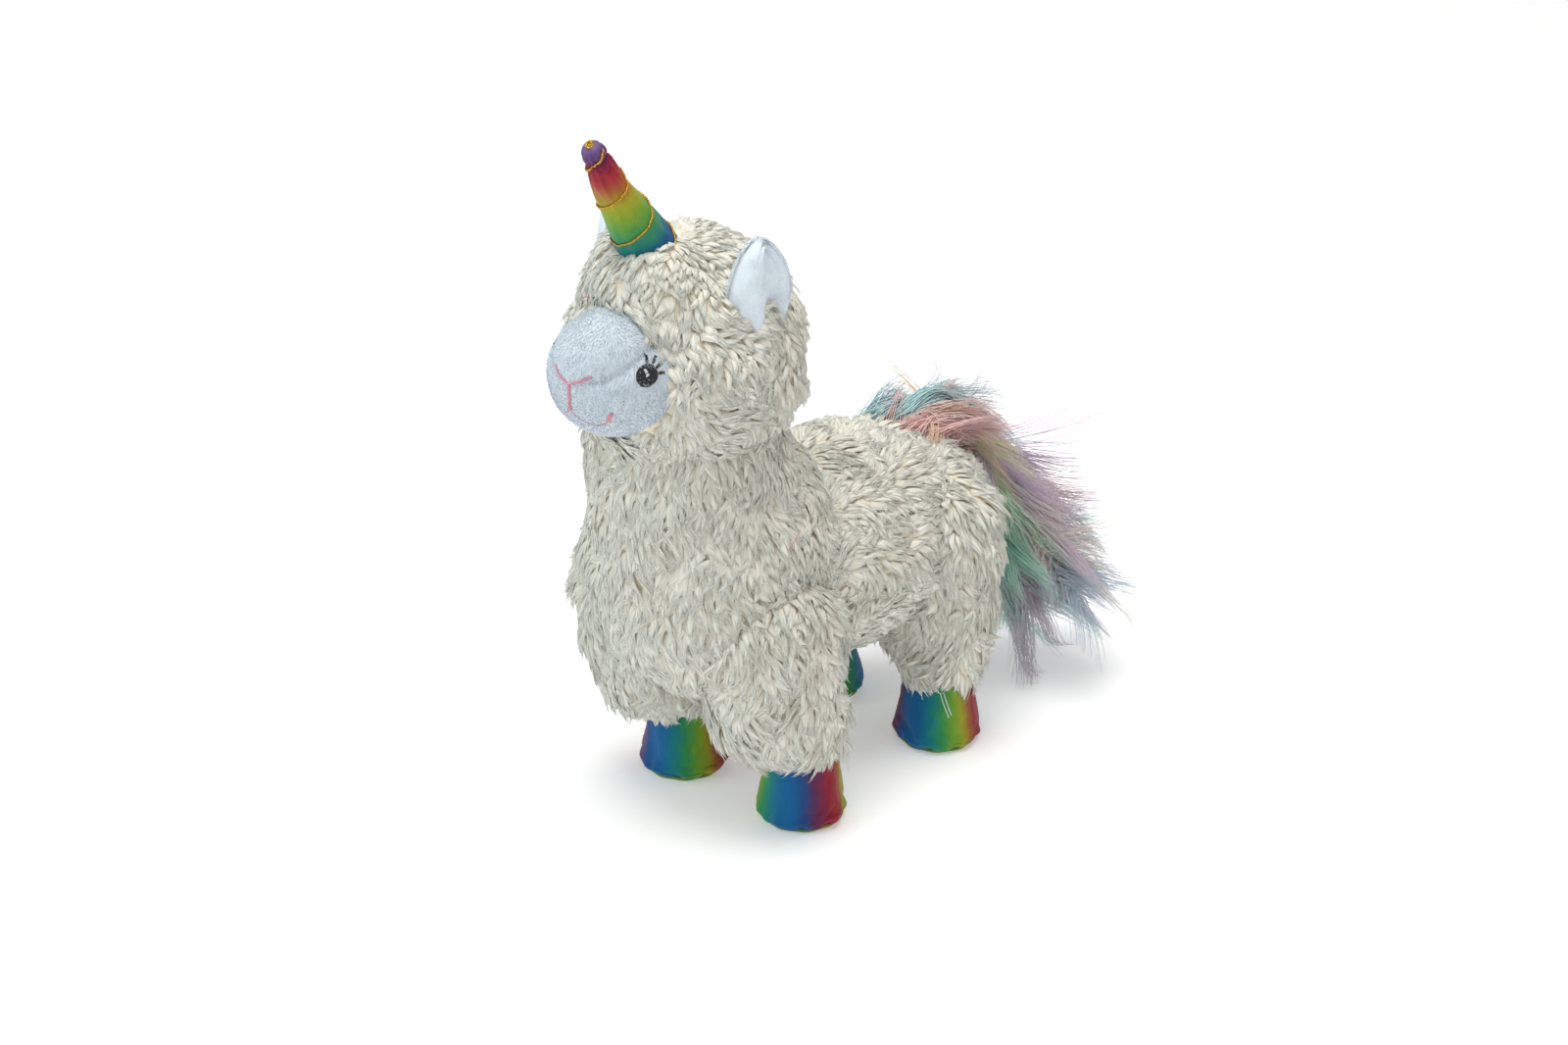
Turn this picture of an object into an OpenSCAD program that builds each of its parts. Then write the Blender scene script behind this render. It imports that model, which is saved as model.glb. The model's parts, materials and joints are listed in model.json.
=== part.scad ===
/* [Body] */
// Height of the back above the floor at the saddle
back_height = 131; // [110:0.5:140]
// Radius of the torso at its middle, pile included
barrel_r = 43.5; // [32:0.5:46]
// Half of the torso's length
barrel_half = 91; // [70:1:95]
// Distance of the torso's middle ahead of the saddle point
barrel_ahead = 8.5; // [0:0.5:12]
// How far the torso slopes down toward the rump
barrel_slope = 8; // [0:1:12]
// How much fuller the chest is than the middle, and the middle than the rump
chest_swell = 4; // [0:0.5:6]
// Thickness of the fleece cover, backing and pile together
pile = 5; // [3:0.25:6]
// Thickness of the short plush used on the face and the ears
plush = 1.8; // [1:0.1:3]
// Half width of the belly panel between its two long seams
belly_half = 13; // [8:0.5:16]

/* [Neck] */
// Radius of the neck at the shoulders, pile included
neck_r = 42; // [36:0.5:44]
// Height of the neck's dome before the head sits in it
neck_height = 36; // [28:0.5:40]

/* [Head] */
// Radius of the round head, pile included
head_r = 42; // [38:0.5:44]
// Height of the head's turning point above the floor
head_z = 179; // [175:0.5:185]
// Distance of the head's turning point ahead of the saddle point
head_ahead = 65; // [60:0.5:68]
// Half width of the crown gusset
gusset_half = 15; // [10:0.5:20]
// Radius of the front of the muzzle
muzzle_r = 22; // [18:0.5:24]
// Distance of the muzzle's centre ahead of the saddle point
muzzle_ahead = 101; // [97:0.5:101]
// Diameter of the satin stitched eye
eye_d = 8.6; // [6:0.2:11]
// Height of an ear above its root
ear_height = 27; // [20:0.5:32]
// Width of an ear
ear_width = 20; // [14:0.5:24]

/* [Horn] */
// Radius of the horn at the fur
horn_base_r = 9.4; // [7:0.1:10]
// Radius of the gathered tip
horn_tip_r = 4; // [3:0.1:5]
// Length of the horn from its root ball to the centre of its tip
horn_length = 51; // [40:0.5:60]
// Forward lean of the horn
horn_lean = 31; // [20:1:40]
// Thickness of the horn's satin sleeve
horn_sleeve_t = 0.8; // [0.5:0.1:1.5]
// Turns of the metallic cord around the horn
cord_turns = 3; // [2:1:4]
// Diameter of the metallic cord
cord_d = 1; // [0.6:0.1:1.2]

/* [Legs] */
// Distance of each shoulder and hip from the middle of the body
hip_half = 28; // [27:0.5:30]
// Radius of the rounded top of each leg, pile included
hip_r = 25; // [20:0.5:25]
// Height of the shoulders and hips above the floor
hip_z = 79; // [77:0.5:81]
// Distance of the shoulders ahead of the saddle point
shoulder_ahead = 55; // [50:0.5:58]
// Distance of the hips behind the saddle point
hip_back = 38; // [34:0.5:42]
// Distance of the hooves ahead of or behind the saddle point
hoof_reach = 38; // [34:0.5:42]
// Radius of the fleece hem above the hoof
hem_r = 18; // [16:0.5:20]
// Height of the fleece hem above the floor
hem_z = 24; // [18:0.5:28]
// Radius of the hoof at the floor
hoof_r = 15.5; // [13:0.25:16.5]
// Radius of the hoof at the hem
hoof_top_r = 12.6; // [11:0.1:13]
// Thickness of the satin hoof sleeve
hoof_t = 1; // [0.6:0.1:1.6]
// Thickness of the sole
sole_t = 1.6; // [1:0.1:2.5]

/* [Tail] */
// Radius of the ball at the tail's root
tail_ball_r = 7; // [5:0.5:8]
// Radius of the plume where it is fullest
plume_r = 19; // [12:0.5:20]

/* [Movement] */
// How far a leg swings under the body
leg_in = 15; // [5:1:15]
// How far a leg swings away from the body
leg_out = 18; // [5:1:18]
// How far the head nods down
nod_down = 14; // [5:1:14]
// How far the horn bends each way
horn_bend = 15; // [5:1:15]
// Play left round every soft joint
play = 0.45; // [0.3:0.05:0.6]

/* [Hidden] */
$fn = 64;
seam = 0.12;
head = [0, -head_ahead, head_z];
crown_r = head_r - 2;
cheek = [0, 11 - muzzle_ahead, 182.5];
muzzle = [0, -muzzle_ahead, 184];
face_y = 9 - muzzle_ahead;
neck_z = 118;
neck_axis = [0, -57, neck_z];
horn_root = [0, -82.5, 220.5];
horn_dir = [0, -sin(horn_lean), cos(horn_lean)];
horn_end = horn_root + horn_length * horn_dir;
sleeve_top = hem_z + 14;
tail_root = [0, 58, 115];
plume_end = muzzle_ahead + muzzle_r + 0.6;
plume_line = [[0, 64, 121.5, 6], [3, 88, 109, 10], [12, 104, 80, 13], [18, plume_end - plume_r, 46, plume_r],
    [21, 100, 28, 15]];
cream = [0.93, 0.9, 0.83];
white = [0.97, 0.97, 0.98];
fill = [0.98, 0.97, 0.95];
pink = [0.93, 0.55, 0.62];

// The cone between two balls, its ends a little inside them, then the balls with it
module taper(a, ra, b, rb) {
    v = b - a;
    long = norm(v);
    s = (ra - rb) / long;
    c = sqrt(1 - s * s);
    translate(a)
        rotate([0, acos(v[2] / long), atan2(v[1], v[0])])
            translate([0, 0, ra * s])
                cylinder(h = long - ra * s + rb * s, r1 = ra * c - 0.15, r2 = rb * c - 0.15);
}

module ball(p, r) {
    translate(p)
        sphere(r);
}

module pod(a, ra, b, rb) {
    ball(a, ra);
    ball(b, rb);
    taper(a, ra, b, rb);
}

// A row of balls, each given as [x, y, z, radius], joined by tapers
module chain(line, d) {
    for (p = line)
        ball([p[0], p[1], p[2]], p[3] - d);
    for (i = [0:len(line) - 2])
        let (a = line[i], b = line[i + 1])
            taper([a[0], a[1], a[2]], a[3] - d, [b[0], b[1], b[2]], b[3] - d);
}

// Turns its children about the X axis through a point
module about_x(p, a) {
    translate(p)
        rotate([a, 0, 0])
            translate(-p)
                children();
}

module left_or_right(side) {
    if (side > 0)
        children();
    else
        mirror([1, 0, 0])
            children();
}

// ---- legs: side is 1 on the left, -1 on the right ----
function hip(front, side) = [side * hip_half, front ? -shoulder_ahead : hip_back, hip_z];
function hoof(front, side) = [side * hip_half, front ? -hoof_reach : hoof_reach, 0];

// How far a leg's axis, from its hip to its hoof, leans back
function lean(front) = let (v = hoof(front, 1) - hip(front, 1)) atan(v[1] / hip_z);

module along_leg(front, side) {
    translate(hip(front, side))
        rotate([lean(front), 0, 0])
            children();
}

// A round hip, a full knee and a narrower hem, turned about the leg's axis
module leg_form(front, side, d) {
    foot = -(hip_z - hem_z) / cos(lean(front)) - 10;
    along_leg(front, side)
        rotate_extrude()
            polygon(concat([for (a = [90:-9:0]) [a < 90 ? (hip_r - d) * cos(a) : 0, (hip_r - d) * sin(a)]],
                [[hip_r - 1 - d, -26], [hem_r + 1.5 - d, -50], [hem_r - 0.5 - d, foot], [0, foot]]));
}

module leg_cover(front, side) {
    color(cream)
        difference() {
            leg_form(front, side, 0);
            leg_form(front, side, pile);
            translate([-150, -200, hem_z - 50])
                cube([300, 400, 50]);
            translate(hoof(front, side))
                cylinder(h = sleeve_top + 2, r1 = hoof_r + 0.8, r2 = hoof_top_r + 0.15);
        }
}

module leg_stuffing(front, side) {
    low = sole_t + seam;
    color(fill) {
        intersection() {
            leg_form(front, side, pile + seam);
            translate([-150, -200, sleeve_top + 1])
                cube([300, 400, 90]);
        }
        translate(hoof(front, side) + [0, 0, low])
            cylinder(h = sleeve_top + 1.8 - low, r1 = hoof_r - hoof_t - seam, r2 = hoof_top_r - hoof_t - seam - 0.3);
    }
}

module hoof_sleeve(front, side) {
    color([0.2, 0.5, 0.65])
        translate(hoof(front, side))
            rotate_extrude()
                polygon([[hoof_r - hoof_t, sole_t], [hoof_r, sole_t], [hoof_top_r, sleeve_top],
                    [hoof_top_r - hoof_t, sleeve_top]]);
}

module hoof_sole(front, side) {
    color([0.55, 0.65, 0.25])
        translate(hoof(front, side))
            rotate_extrude()
                polygon([[0, 0], [hoof_r - 1.2, 0], [hoof_r, 0.6], [hoof_r, sole_t - 0.1], [0, sole_t - 0.1]]);
}

// The room a leg needs as it swings: a socket, and a skirt that opens downward
module leg_room(front) {
    ball(hip(front, 1), hip_r + play);
    intersection() {
        along_leg(front, 1)
            translate([0, 0, -48])
                cylinder(h = 51, r1 = hip_r + 2 + 48 * tan(leg_out), r2 = hip_r + 1);
        translate([hip_half - hip_r - play, -200, 0])
            cube([100, 400, 120]);
    }
}

// ---- torso ----
function girth(s) = (barrel_r - chest_swell * s) * pow(1 - pow(abs(s), 2.6), 1 / 2.6);

module torso_form(d) {
    n = 20;
    translate([0, -barrel_ahead, back_height - barrel_r])
        rotate([-90 - barrel_slope, 0, 0])
            rotate([0, 0, 20])
                rotate_extrude()
                    polygon([for (i = [0:n]) let (s = -cos(180 * i / n))
                        [i == 0 || i == n ? 0 : girth(s) - d * (1 - pow(s, 8)), (barrel_half - d) * s]]);
}

module torso_rooms() {
    for (side = [1, -1])
        left_or_right(side) {
            leg_room(true);
            leg_room(false);
        }
    translate(neck_axis)
        cylinder(h = 60, r = neck_r + play);
    translate(tail_root)
        sphere(tail_ball_r + play);
}

module torso_shell() {
    difference() {
        difference() {
            torso_form(0);
            torso_rooms();
        }
        torso_form(pile);
    }
}

module belly_zone(grow) {
    translate([-belly_half - grow, -120, 0])
        cube([2 * (belly_half + grow), 230, 62 + grow]);
}

module torso_side(side) {
    color(cream)
        left_or_right(side)
            difference() {
                torso_shell();
                belly_zone(seam);
                translate([seam / 2 - 100, -150, 0])
                    cube([100, 300, 200]);
            }
}

module torso_cover_left() {
    torso_side(1);
}

module torso_cover_right() {
    torso_side(-1);
}

module belly_panel() {
    color(cream)
        difference() {
            intersection() {
                torso_shell();
                belly_zone(0);
            }
            translate([-1.1, -22.2, 30])
                cube([2.2, 40.4, 22]);
        }
}

module belly_closing_seam() {
    color(white)
        intersection() {
            difference() {
                torso_form(1);
                torso_form(pile);
            }
            translate([-0.9, -22, 30])
                cube([1.8, 40, 20]);
        }
}

module torso_stuffing() {
    color(fill)
        difference() {
            torso_form(pile + seam);
            torso_rooms();
        }
}

// ---- head, worked out first because the neck makes room for it ----
module head_form(d) {
    translate(head)
        rotate_extrude()
            polygon(concat([for (a = [-90:7.5:0]) [(head_r - d) * cos(a) * (a > -90 ? 1 : 0), (head_r - d) * sin(a)]],
                [for (a = [7.5:7.5:90]) [(crown_r - d) * cos(a) * (a < 90 ? 1 : 0), 7 + (crown_r - d) * sin(a)]]));
}

module muzzle_form(d) {
    pod(cheek, muzzle_r + 2.5 - d, muzzle, muzzle_r - d);
}

module face_zone(grow) {
    translate([-60, -200, 100])
        cube([120, 200 + face_y + grow, 150]);
}

module face_block(grow) {
    intersection() {
        muzzle_form(-grow);
        face_zone(grow);
    }
}

module horn_form(d) {
    pod(horn_root, horn_base_r + 0.4 - d, horn_end, horn_tip_r - d);
}

module horn_room() {
    ball(horn_root, horn_base_r + 0.4 + play);
    translate(horn_root)
        rotate([horn_lean, 0, 0])
            cylinder(h = 20, r1 = horn_base_r + 0.2 + play, r2 = horn_base_r + 0.2 + play + 20 * tan(horn_bend - 5));
}

module head_rooms() {
    horn_room();
    for (side = [1, -1])
        left_or_right(side)
            ear_root(2.3 + play, 7 + play);
}

module head_shell() {
    difference() {
        head_form(0);
        head_form(pile);
        face_block(seam);
        head_rooms();
    }
}

module head_side(side) {
    color(cream)
        left_or_right(side)
            difference() {
                head_shell();
                translate([gusset_half + seam - 200, -200, 100])
                    cube([200, 300, 200]);
            }
}

module head_cover_left() {
    head_side(1);
}

module head_cover_right() {
    head_side(-1);
}

module crown_gusset() {
    color(cream)
        intersection() {
            head_shell();
            translate([-gusset_half, -200, 100])
                cube([2 * gusset_half, 300, 200]);
        }
}

module head_stuffing() {
    color(fill)
        difference() {
            head_form(pile + seam);
            face_zone(seam);
            ball(horn_root, horn_base_r + 0.4 + play);
        }
}

module muzzle_panel() {
    difference() {
        face_block(0);
        muzzle_form(plush);
    }
}

// The seam plane that runs from the nose up past the eyes
module above_seam(grow) {
    translate([-60, -muzzle_ahead - muzzle_r, 185 - grow])
        rotate([32, 0, 0])
            translate([0, -40, 0])
                cube([120, 120, 80]);
}

module muzzle_upper_panel() {
    color(white)
        intersection() {
            muzzle_panel();
            above_seam(0);
        }
}

module muzzle_lower_panel() {
    color(white)
        difference() {
            muzzle_panel();
            above_seam(seam);
        }
}

module muzzle_stuffing() {
    color(fill)
        intersection() {
            muzzle_form(plush + seam);
            face_zone(0);
        }
}

// A thin layer of thread lying on the face
module on_face(low, high) {
    difference() {
        muzzle_form(-high);
        muzzle_form(-low);
    }
}

// Sets its children square to the face at a point of the muzzle ball
module at_face(azimuth, height) {
    translate(muzzle)
        rotate([0, 90 - height, azimuth])
            translate([0, 0, muzzle_r - 6])
                children();
}

module eye(side) {
    color([0.05, 0.05, 0.06])
        left_or_right(side)
            intersection() {
                on_face(0.05, 0.7);
                at_face(-13, 16.5)
                    cylinder(h = 12, d = eye_d);
            }
}

module left_eye() {
    eye(1);
}

module right_eye() {
    eye(-1);
}

module eye_glint(side) {
    color(white)
        left_or_right(side)
            intersection() {
                on_face(0.72, 1);
                at_face(-13, 16.5)
                    translate([-0.4, -0.6, 0]) {
                        translate([-0.8, 0, 0])
                            cylinder(h = 12, r = 0.95);
                        translate([0.5, 0.4, 0])
                            cylinder(h = 12, r = 0.95);
                    }
            }
}

module left_eye_glint() {
    eye_glint(1);
}

module right_eye_glint() {
    eye_glint(-1);
}

module eyelashes(side) {
    color([0.05, 0.05, 0.06])
        left_or_right(side)
            intersection() {
                on_face(0.05, 0.65);
                at_face(-13, 16.5)
                    difference() {
                        union() {
                            for (a = [70:24:142])
                                rotate([0, 0, a])
                                    translate([0, -0.35, 0])
                                        cube([eye_d / 2 + 2.6, 0.7, 12]);
                            cylinder(h = 12, d = eye_d + 0.8);
                        }
                        translate([0, 0, -1])
                            cylinder(h = 14, d = eye_d + 0.1);
                    }
            }
}

module left_eyelashes() {
    eyelashes(1);
}

module right_eyelashes() {
    eyelashes(-1);
}

module stitch_bar(x, z, length, turn, width) {
    translate([x, -140, z])
        rotate([0, turn, 0])
            translate([-width / 2, 0, -width / 2])
                cube([length + width, 60, width]);
}

module nose_and_mouth_stitching() {
    color(pink)
        intersection() {
            on_face(0.05, 0.6);
            union() {
                stitch_bar(0, 187, 6.5, -24, 0.9);
                mirror([1, 0, 0])
                    stitch_bar(0, 187, 6.5, -24, 0.9);
                stitch_bar(0, 187, 11.4, 90, 0.9);
                for (side = [1, -1])
                    left_or_right(side) {
                        for (i = [0:5])
                            stitch_bar(2 * i, 175.6 + 0.085 * i * i, 2, -2.4 - 4.9 * i, 0.8);
                        stitch_bar(11.6, 178.4, 2.2, -60, 1.2);
                    }
            }
        }
}

// ---- ears, drawn for the left side ----
ear_foot = [30.4, -60.4, 211.6];
cup_r = 21;

module ear_frame() {
    translate(ear_foot)
        rotate([0, 12, -6])
            children();
}

// A cupped leaf, hollow side outward
module ear_leaf(low, high) {
    ear_frame() {
        intersection() {
            translate([cup_r - 4.6, 0, ear_height * 0.45])
                difference() {
                    sphere(cup_r - low);
                    sphere(cup_r - high);
                }
            translate([-6, 0, 1])
                rotate([0, 90, 0])
                    rotate([0, 0, 90])
                        linear_extrude(14)
                            intersection() {
                                translate([-6, ear_height * 0.3])
                                    circle(ear_width * 0.8);
                                translate([6, ear_height * 0.3])
                                    circle(ear_width * 0.8);
                                translate([0, ear_height * 0.42])
                                    circle(ear_height * 0.56);
                                translate([-20, 0])
                                    square([40, 60]);
                            }
        }
    }
}

module ear_root(r, half) {
    ear_frame()
        rotate([90, 0, 0])
            translate([0, 0, -half])
                cylinder(h = 2 * half, r = r);
}

module ear_back(side) {
    color(white)
        left_or_right(side) {
            ear_leaf(0, plush);
            ear_root(2.3, 7);
        }
}

module ear_front(side) {
    color(white)
        left_or_right(side)
            difference() {
                ear_leaf(plush + seam, 2 * plush);
                ear_root(2.3 + seam, 12);
            }
}

module left_ear_back() {
    ear_back(1);
}

module left_ear_front() {
    ear_front(1);
}

module right_ear_back() {
    ear_back(-1);
}

module right_ear_front() {
    ear_front(-1);
}

// ---- horn ----
module horn_sleeve() {
    color([0.75, 0.7, 0.25])
        difference() {
            horn_form(0);
            horn_form(horn_sleeve_t);
            translate(horn_root)
                rotate([horn_lean, 0, 0])
                    translate([-10, -10, -30])
                        cube([20, 20, 26]);
        }
}

module horn_stuffing() {
    color(fill)
        horn_form(horn_sleeve_t + seam);
}

function horn_r(t) = horn_base_r + 0.1 + (horn_tip_r - horn_base_r) * t;
function cord_p(i, n) = let (t = 0.16 + 0.76 * i / n, a = 200 + 360 * cord_turns * i / n,
    r = horn_r(t) + cord_d / 2 + 0.4) [r * cos(a), r * sin(a), horn_length * t];

module horn_cord() {
    n = 12 * cord_turns;
    color([0.85, 0.68, 0.25])
        translate(horn_root)
            rotate([horn_lean, 0, 0])
                for (i = [0:n - 1]) {
                    a = cord_p(i, n);
                    v = cord_p(i + 1, n) - a;
                    translate(a)
                        rotate([0, acos(v[2] / norm(v)), atan2(v[1], v[0])])
                            translate([0, 0, -0.2])
                                cylinder(h = norm(v) + 0.4, d = cord_d);
                }
}

module horn_tip_gather() {
    color([0.85, 0.68, 0.25])
        translate(horn_end + (horn_tip_r + 0.15) * horn_dir)
            rotate([horn_lean, 0, 0])
                cylinder(h = 0.8, r = 1.1);
}

// ---- neck ----
module neck_solid(d) {
    difference() {
        translate(neck_axis + [0, 0, play])
            rotate_extrude()
                polygon(concat([[0, 0]], [for (i = [0:9]) let (a = 10 * i)
                    [(neck_r - d) * pow(cos(a), 0.7), (neck_height - d) * pow(sin(a), 0.85)]]));
        ball(head, head_r + play);
        about_x(head, nod_down)
            ball(muzzle, muzzle_r + play + 1);
    }
}

module neck_cover() {
    color(cream)
        difference() {
            neck_solid(0);
            translate(neck_axis - [0, 0, 1])
                cylinder(h = 60, r = neck_r - pile - 3);
        }
}

module neck_stuffing() {
    color(fill)
        intersection() {
            neck_solid(0);
            translate(neck_axis - [0, 0, 1])
                cylinder(h = 60, r = neck_r - pile - 3 - seam);
        }
}

// ---- legs and hooves by name ----
module front_left_leg_cover() {
    leg_cover(true, 1);
}

module front_left_leg_stuffing() {
    leg_stuffing(true, 1);
}

module front_left_hoof_sleeve() {
    hoof_sleeve(true, 1);
}

module front_left_hoof_sole() {
    hoof_sole(true, 1);
}

module front_right_leg_cover() {
    leg_cover(true, -1);
}

module front_right_leg_stuffing() {
    leg_stuffing(true, -1);
}

module front_right_hoof_sleeve() {
    hoof_sleeve(true, -1);
}

module front_right_hoof_sole() {
    hoof_sole(true, -1);
}

module hind_left_leg_cover() {
    leg_cover(false, 1);
}

module hind_left_leg_stuffing() {
    leg_stuffing(false, 1);
}

module hind_left_hoof_sleeve() {
    hoof_sleeve(false, 1);
}

module hind_left_hoof_sole() {
    hoof_sole(false, 1);
}

module hind_right_leg_cover() {
    leg_cover(false, -1);
}

module hind_right_leg_stuffing() {
    leg_stuffing(false, -1);
}

module hind_right_hoof_sleeve() {
    hoof_sleeve(false, -1);
}

module hind_right_hoof_sole() {
    hoof_sole(false, -1);
}

// ---- tail ----
module plume_form(d) {
    chain(plume_line, d);
}

module tail_root_ball() {
    color(cream)
        translate(tail_root)
            sphere(tail_ball_r);
}

module tail_backing() {
    color([0.85, 0.8, 0.75])
        difference() {
            plume_form(4.2);
            translate(tail_root)
                sphere(tail_ball_r + play);
            translate([-50, 50, 0])
                cube([120, 100, 60]);
        }
}

module tail_plume() {
    color([0.75, 0.86, 0.8])
        difference() {
            plume_form(0);
            plume_form(4.2 - seam);
            translate(tail_root)
                sphere(tail_ball_r + play);
        }
}

torso_cover_left();
torso_cover_right();
belly_panel();
belly_closing_seam();
torso_stuffing();
neck_cover();
neck_stuffing();
head_cover_left();
head_cover_right();
crown_gusset();
head_stuffing();
muzzle_upper_panel();
muzzle_lower_panel();
muzzle_stuffing();
nose_and_mouth_stitching();
left_eye();
right_eye();
left_eye_glint();
right_eye_glint();
left_eyelashes();
right_eyelashes();
left_ear_back();
left_ear_front();
right_ear_back();
right_ear_front();
horn_sleeve();
horn_stuffing();
horn_cord();
horn_tip_gather();
front_left_leg_cover();
front_left_leg_stuffing();
front_left_hoof_sleeve();
front_left_hoof_sole();
front_right_leg_cover();
front_right_leg_stuffing();
front_right_hoof_sleeve();
front_right_hoof_sole();
hind_left_leg_cover();
hind_left_leg_stuffing();
hind_left_hoof_sleeve();
hind_left_hoof_sole();
hind_right_leg_cover();
hind_right_leg_stuffing();
hind_right_hoof_sleeve();
hind_right_hoof_sole();
tail_root_ball();
tail_backing();
tail_plume();
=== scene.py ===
import json
import math

import bmesh
import bpy
import numpy as np
from mathutils import Matrix, Vector
from mathutils.bvhtree import BVHTree


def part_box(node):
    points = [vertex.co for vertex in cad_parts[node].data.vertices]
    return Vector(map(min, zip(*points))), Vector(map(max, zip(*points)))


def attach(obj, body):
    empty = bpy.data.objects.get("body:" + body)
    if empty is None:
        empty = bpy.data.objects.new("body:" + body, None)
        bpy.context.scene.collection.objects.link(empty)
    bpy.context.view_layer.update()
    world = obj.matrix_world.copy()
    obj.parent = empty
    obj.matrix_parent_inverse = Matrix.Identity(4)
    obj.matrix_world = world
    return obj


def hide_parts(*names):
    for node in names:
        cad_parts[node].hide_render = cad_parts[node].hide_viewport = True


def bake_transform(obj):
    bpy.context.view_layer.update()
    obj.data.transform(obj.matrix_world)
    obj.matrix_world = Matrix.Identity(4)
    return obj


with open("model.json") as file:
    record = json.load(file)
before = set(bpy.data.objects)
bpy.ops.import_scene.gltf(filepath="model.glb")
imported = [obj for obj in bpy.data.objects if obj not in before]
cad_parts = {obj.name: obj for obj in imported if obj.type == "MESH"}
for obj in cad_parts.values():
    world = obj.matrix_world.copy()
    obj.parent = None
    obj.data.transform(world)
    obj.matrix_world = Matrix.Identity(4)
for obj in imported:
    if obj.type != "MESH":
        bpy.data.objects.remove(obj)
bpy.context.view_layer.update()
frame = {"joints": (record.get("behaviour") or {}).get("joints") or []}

# Lengths below are in millimetres, and MM turns them into Blender's metres.
MM = 0.001
SEED = 7
PILE = 2.0
PIVOTS = {j["name"]: np.array(j["pos_m"]) / MM for j in frame["joints"]}
LEGS = ("front_left", "front_right", "hind_left", "hind_right")


# ---------------------------------------------------------------- small tools
def rng_for(number):
    return np.random.default_rng([SEED, number])


def middle(node):
    low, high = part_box(node)
    return (np.array(low) + np.array(high)) / 2 / MM


def half_size(node):
    low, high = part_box(node)
    return (np.array(high) - np.array(low)) / 2 / MM


def unit(v):
    return v / np.maximum(np.linalg.norm(v, axis=-1, keepdims=True), 1e-9)


def flat_to(v, normal):
    """The part of v that lies in the surface, as a unit vector."""
    return unit(v - (v * normal).sum(-1, keepdims=True) * normal)


def smoothstep(x, low, high):
    t = np.clip((x - low) / (high - low), 0, 1)
    return t * t * (3 - 2 * t)


def ripple(points, scale, seed, waves=5):
    """A smooth, repeatable wandering value of about -1 to 1 at each point."""
    rng = rng_for(seed)
    ways = unit(rng.normal(size=(waves, 3)))
    sizes = scale * rng.uniform(0.7, 1.5, waves)
    phases = rng.uniform(0, 2 * math.pi, waves)
    return np.sin(points @ (ways / sizes[:, None]).T * 2 * math.pi + phases).sum(-1) / math.sqrt(waves)


# ---------------------------------------------------------------- meshes
def make(name, verts, faces, material=None, uv=None, numbers=None, colours=None):
    """A mesh object from a list of face arrays, each with one number of corners."""
    mesh = bpy.data.meshes.new(name)
    faces = [np.asarray(f) for f in faces if len(f)]
    loops = np.concatenate([f.ravel() for f in faces]).astype(np.int32)
    sides = np.concatenate([np.full(len(f), f.shape[1]) for f in faces])
    starts = np.concatenate([[0], np.cumsum(sides)[:-1]]).astype(np.int32)
    mesh.vertices.add(len(verts))
    mesh.vertices.foreach_set("co", (np.asarray(verts) * MM).astype(np.float32).ravel())
    mesh.loops.add(len(loops))
    mesh.loops.foreach_set("vertex_index", loops)
    mesh.polygons.add(len(sides))
    mesh.polygons.foreach_set("loop_start", starts)
    mesh.polygons.foreach_set("use_smooth", np.ones(len(sides), bool))
    mesh.update(calc_edges=True)
    if uv is not None:
        layer = mesh.uv_layers.new(name="UVMap")
        corners = np.concatenate([u.reshape(-1, 2) for u in uv])
        layer.data.foreach_set("uv", corners.astype(np.float32).ravel())
    for key, values in (numbers or {}).items():
        mesh.attributes.new(key, "FLOAT", "POINT").data.foreach_set("value", values.astype(np.float32))
    for key, values in (colours or {}).items():
        four = np.concatenate([values, np.ones((len(values), 1))], 1).astype(np.float32)
        mesh.attributes.new(key, "FLOAT_COLOR", "POINT").data.foreach_set("color", four.ravel())
    obj = bpy.data.objects.new(name, mesh)
    bpy.context.scene.collection.objects.link(obj)
    if material is not None:
        mesh.materials.append(material)
    return obj


def ball_points(middle_point, radii):
    """Points all over an ellipsoid."""
    bm = bmesh.new()
    bmesh.ops.create_icosphere(bm, subdivisions=3, radius=1)
    points = np.array([v.co for v in bm.verts])
    bm.free()
    return np.array(middle_point) + points * np.array(radii)


def disc_points(middle_point, radius):
    a = np.linspace(0, 2 * math.pi, 32, endpoint=False)
    return np.array(middle_point) + radius * np.stack([np.cos(a), np.sin(a), 0 * a], 1)


def read_mesh(obj):
    """Vertices in millimetres and quads, with any triangle written as a quad with a corner twice."""
    shape = obj.evaluated_get(bpy.context.evaluated_depsgraph_get()).to_mesh()
    co = np.zeros(len(shape.vertices) * 3)
    shape.vertices.foreach_get("co", co)
    quads = np.array([list(p.vertices) + [p.vertices[-1]] * (4 - len(p.vertices)) for p in shape.polygons])
    return co.reshape(-1, 3) / MM, quads


def smoothed(verts, quads, rounds):
    edges = np.concatenate([quads[:, [i, (i + 1) % 4]] for i in range(4)])
    edges = edges[edges[:, 0] != edges[:, 1]]
    for _ in range(rounds):
        total, count = np.zeros_like(verts), np.zeros(len(verts))
        for a, b in ((0, 1), (1, 0)):
            np.add.at(total, edges[:, a], verts[edges[:, b]])
            np.add.at(count, edges[:, a], 1)
        verts = verts + 0.5 * (total / np.maximum(count, 1)[:, None] - verts)
    return verts


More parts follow.
